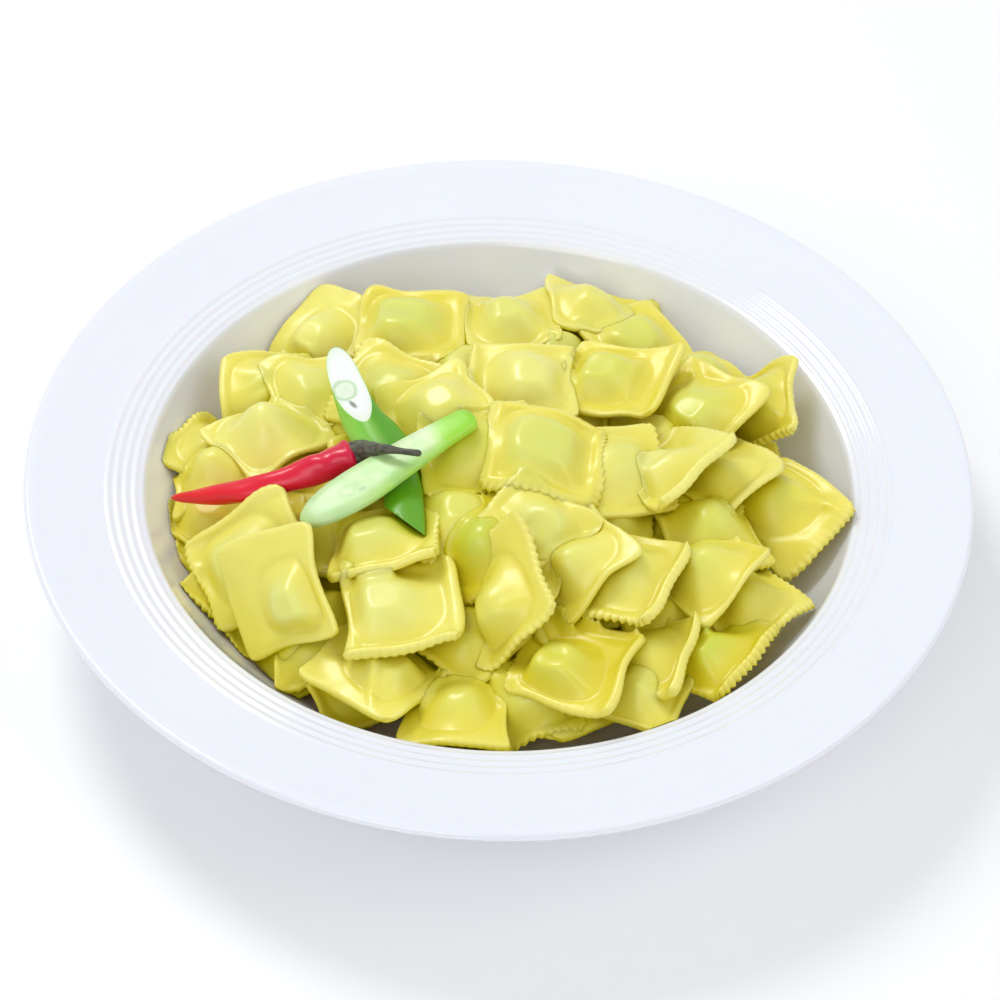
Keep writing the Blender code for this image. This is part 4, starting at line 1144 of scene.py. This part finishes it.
def sliceFinish():
    s = Shading("springOnionSlice")
    v = onion
    along = s.attribute("along")
    across = s.attribute("aside")   # 0 at the back edge, 1 at the front edge
    tint = s.ramp(along, [(0.0, (0.58, 0.80, 0.30)), (0.14, (0.60, 0.80, 0.44)), (0.5, (0.60, 0.82, 0.36)),
                          (0.7, (0.70, 0.88, 0.44)), (0.77, (0.38, 0.78, 0.05)), (1.0, (0.30, 0.70, 0.02))])
    frontShare = s.ramp(across, [(0.66, 0.0), (0.95, 0.85)])
    frontGreen = s.maths("MULTIPLY", frontShare, s.ramp(along, [(0.28, 0.0), (0.5, 1.0)]))
    edged = s.mix(frontGreen, tint, (0.42, 0.78, 0.08))
    backShare = s.ramp(across, [(0.25, 0.9), (0.55, 0.0)])
    bandAlong = s.ramp(along, [(0.56, 0.0), (0.66, 1.0), (0.74, 0.9), (0.82, 0.1)])
    band = s.maths("MULTIPLY", backShare, bandAlong)
    banded = s.mix(s.maths("MULTIPLY", band, 0.6), edged, (0.86, 0.94, 0.76))
    clouds = s.ramp(s.noise(130.0, 4.0, stretch=(1, 1.6, 1)), [(0.42, 0.0), (0.66, 0.8)])
    middleAlong = s.ramp(along, [(0.12, 0.2), (0.4, 1.0), (0.62, 0.9), (0.72, 0.0)])
    middle = s.maths("MULTIPLY", clouds, middleAlong)
    cloudy = s.mix(middle, banded, (0.40, 0.70, 0.22))
    heart = s.around(v["heart"], v["heartSize"], 0.9, 38)
    ring = s.ramp(heart, [(0.42, 0.0), (0.62, 0.75), (0.74, 0.1), (0.92, 0.35), (1.0, 0.0)])
    ringed = s.mix(ring, cloudy, (0.36, 0.62, 0.24))
    stain = s.ramp(s.around(v["stain"], v["stainSize"], 0.5, 50), [(0.2, 0.6), (1.0, 0.0)])
    s.set(colour=s.mix(stain, ringed, (0.26, 0.40, 0.26)), roughness=0.34, coat=0.12, coatRoughness=0.15)
    s.set(subsurface=0.45, subsurfaceScale=0.003)
    s.bump(s.noise(300.0, 4.0), 0.25, 0.0005)
    return s.material


def cutFlat(bm, place, normal, fromY=-1000.0):
    # cuts the body with a plane, behind a line across it, closes it and returns the new face
    verts = [vert for vert in bm.verts if vert.co.y > fromY * mm]
    near = set(verts)
    edges = [edge for edge in bm.edges if near.issuperset(edge.verts)]
    geometry = verts + edges + [face for face in bm.faces if near.issuperset(face.verts)]
    spot = Vector(place) * mm
    bmesh.ops.bisect_plane(bm, geom=geometry, plane_co=spot, plane_no=Vector(normal).normalized(),
                           clear_outer=True)
    rim = [edge for edge in bm.edges if edge.is_boundary]
    return bmesh.ops.contextual_create(bm, geom=rim)["faces"]


def makeOnionLength():
    v = onion
    bm = bodyAlong(v["line"], 110, 48, onionHalves)[0]
    cutFlat(bm, *v["lowerCut"])
    face = cutFlat(bm, *v["upperCut"], v["upperCutFrom"])
    cutLayer = bm.verts.layers.float.new("cutShare")
    ringLayer = bm.verts.layers.float.new("cutFace")
    rings = v["cutRings"]
    for ring in range(rings):
        middle = sum((vert.co for vert in face[0].verts), Vector()) / len(face[0].verts)
        bmesh.ops.inset_individual(bm, faces=face, thickness=0.05 * mm if ring == 0 else 0.0)
        share = 0.985 if ring == 0 else 1 - 1 / (rings - ring + 1)
        for vert in face[0].verts:
            vert.co = middle + (vert.co - middle) * share
            vert[cutLayer] = 1.0
            vert[ringLayer] = (ring + 1) / rings
    bmesh.ops.triangulate(bm, faces=[f for f in bm.faces if len(f.verts) > 4])
    bmesh.ops.recalc_face_normals(bm, faces=bm.faces)
    obj = meshObject("springOnionTube", bm, onionFinish())
    points = readVertices(obj.data) / mm
    steps = v["measureSteps"]
    line = np.array([curvePoint(v["line"], i / steps) for i in range(steps + 1)])
    near = ((points[:, None, :2] - line[None, :, :2]) ** 2).sum(axis=2).argmin(axis=1)
    ahead = np.gradient(line[:, :2], axis=0)
    side = np.column_stack((ahead[:, 1], -ahead[:, 0])) / np.linalg.norm(ahead, axis=1)[:, None]
    halves = np.array([halvesAlong(v["line"], i / steps)[0] for i in range(steps + 1)])
    aside = ((points[:, :2] - line[near, :2]) * side[near]).sum(axis=1) / halves[near]
    setFloatAttribute(obj.data, "along", near / steps)
    setFloatAttribute(obj.data, "aside", 0.5 + 0.5 * np.clip(aside, -1, 1))
    return obj


def makeOnionSlice():
    bm, places = bodyAlong(onion["slice"], 100, 64, sliceHalves, 0.66)
    obj = meshObject("springOnionSlice", bm, sliceFinish())
    setFloatAttribute(obj.data, "along", np.array([t for t, angle in places]))
    setFloatAttribute(obj.data, "aside", np.array([0.5 + 0.5 * math.cos(angle) for t, angle in places]))
    return obj


def makeOnion():
    tube, flat = makeOnionLength(), makeOnionSlice()
    for obj, node, slot in ((tube, "spring_onion_length", "onion_green"),
                            (flat, "spring_onion_slice", "onion_pale")):
        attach(obj, "root")
        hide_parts(node)
    return [tube, flat]


def makeHeap(plateObject, toppings):
    pasta = pastaMaterial()
    pile = Pile()
    objectLayer(pile, plateObject)
    core = meshObject("pastaCore", coreSurface(), pasta)
    # the core's low tone is painted shade: darker pasta for what shows through the gaps
    for name, value in (("filling", 0.0), ("rim", 0.0), ("tone", 0.2), ("green", 0.0)):
        setFloatAttribute(core.data, name, np.full(len(core.data.vertices), value))
    objectLayer(pile, core)
    ceiling = toppingCeiling(toppings)
    pieces = []
    coarseBase = pillowBase(raviolo["hiddenCells"])
    coarsePoints = readVertices(coarseBase)
    lower = [makeRavioloMesh(row, coarseBase, coarsePoints, pile, ceiling, pasta) for row in hiddenRows()]
    pieces.append(joined([core] + lower, "ravioliUnderneath"))
    print("hidden ravioli laid")
    base = pillowBase(raviolo["cells"], raviolo["rimCells"])
    basePoints = readVertices(base)
    shown = [makeRavioloMesh(row, base, basePoints, pile, ceiling, pasta) for row in placed]
    perPiece = raviolo["perPiece"]
    for number, start in enumerate(range(0, len(shown), perPiece)):
        pieces.append(joined(shown[start:start + perPiece], f"ravioliLayer{number + 1}"))
    for piece in pieces:
        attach(piece, "root")
        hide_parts("ravioli_heap")
    print("ravioli laid:", len(placed), "shown")


makeCamera(camera)
makeStudio(studio)
plateObject = makePlate()
toppings = makeChilli() + makeOnion()
print("toppings made")
makeHeap(plateObject, toppings)
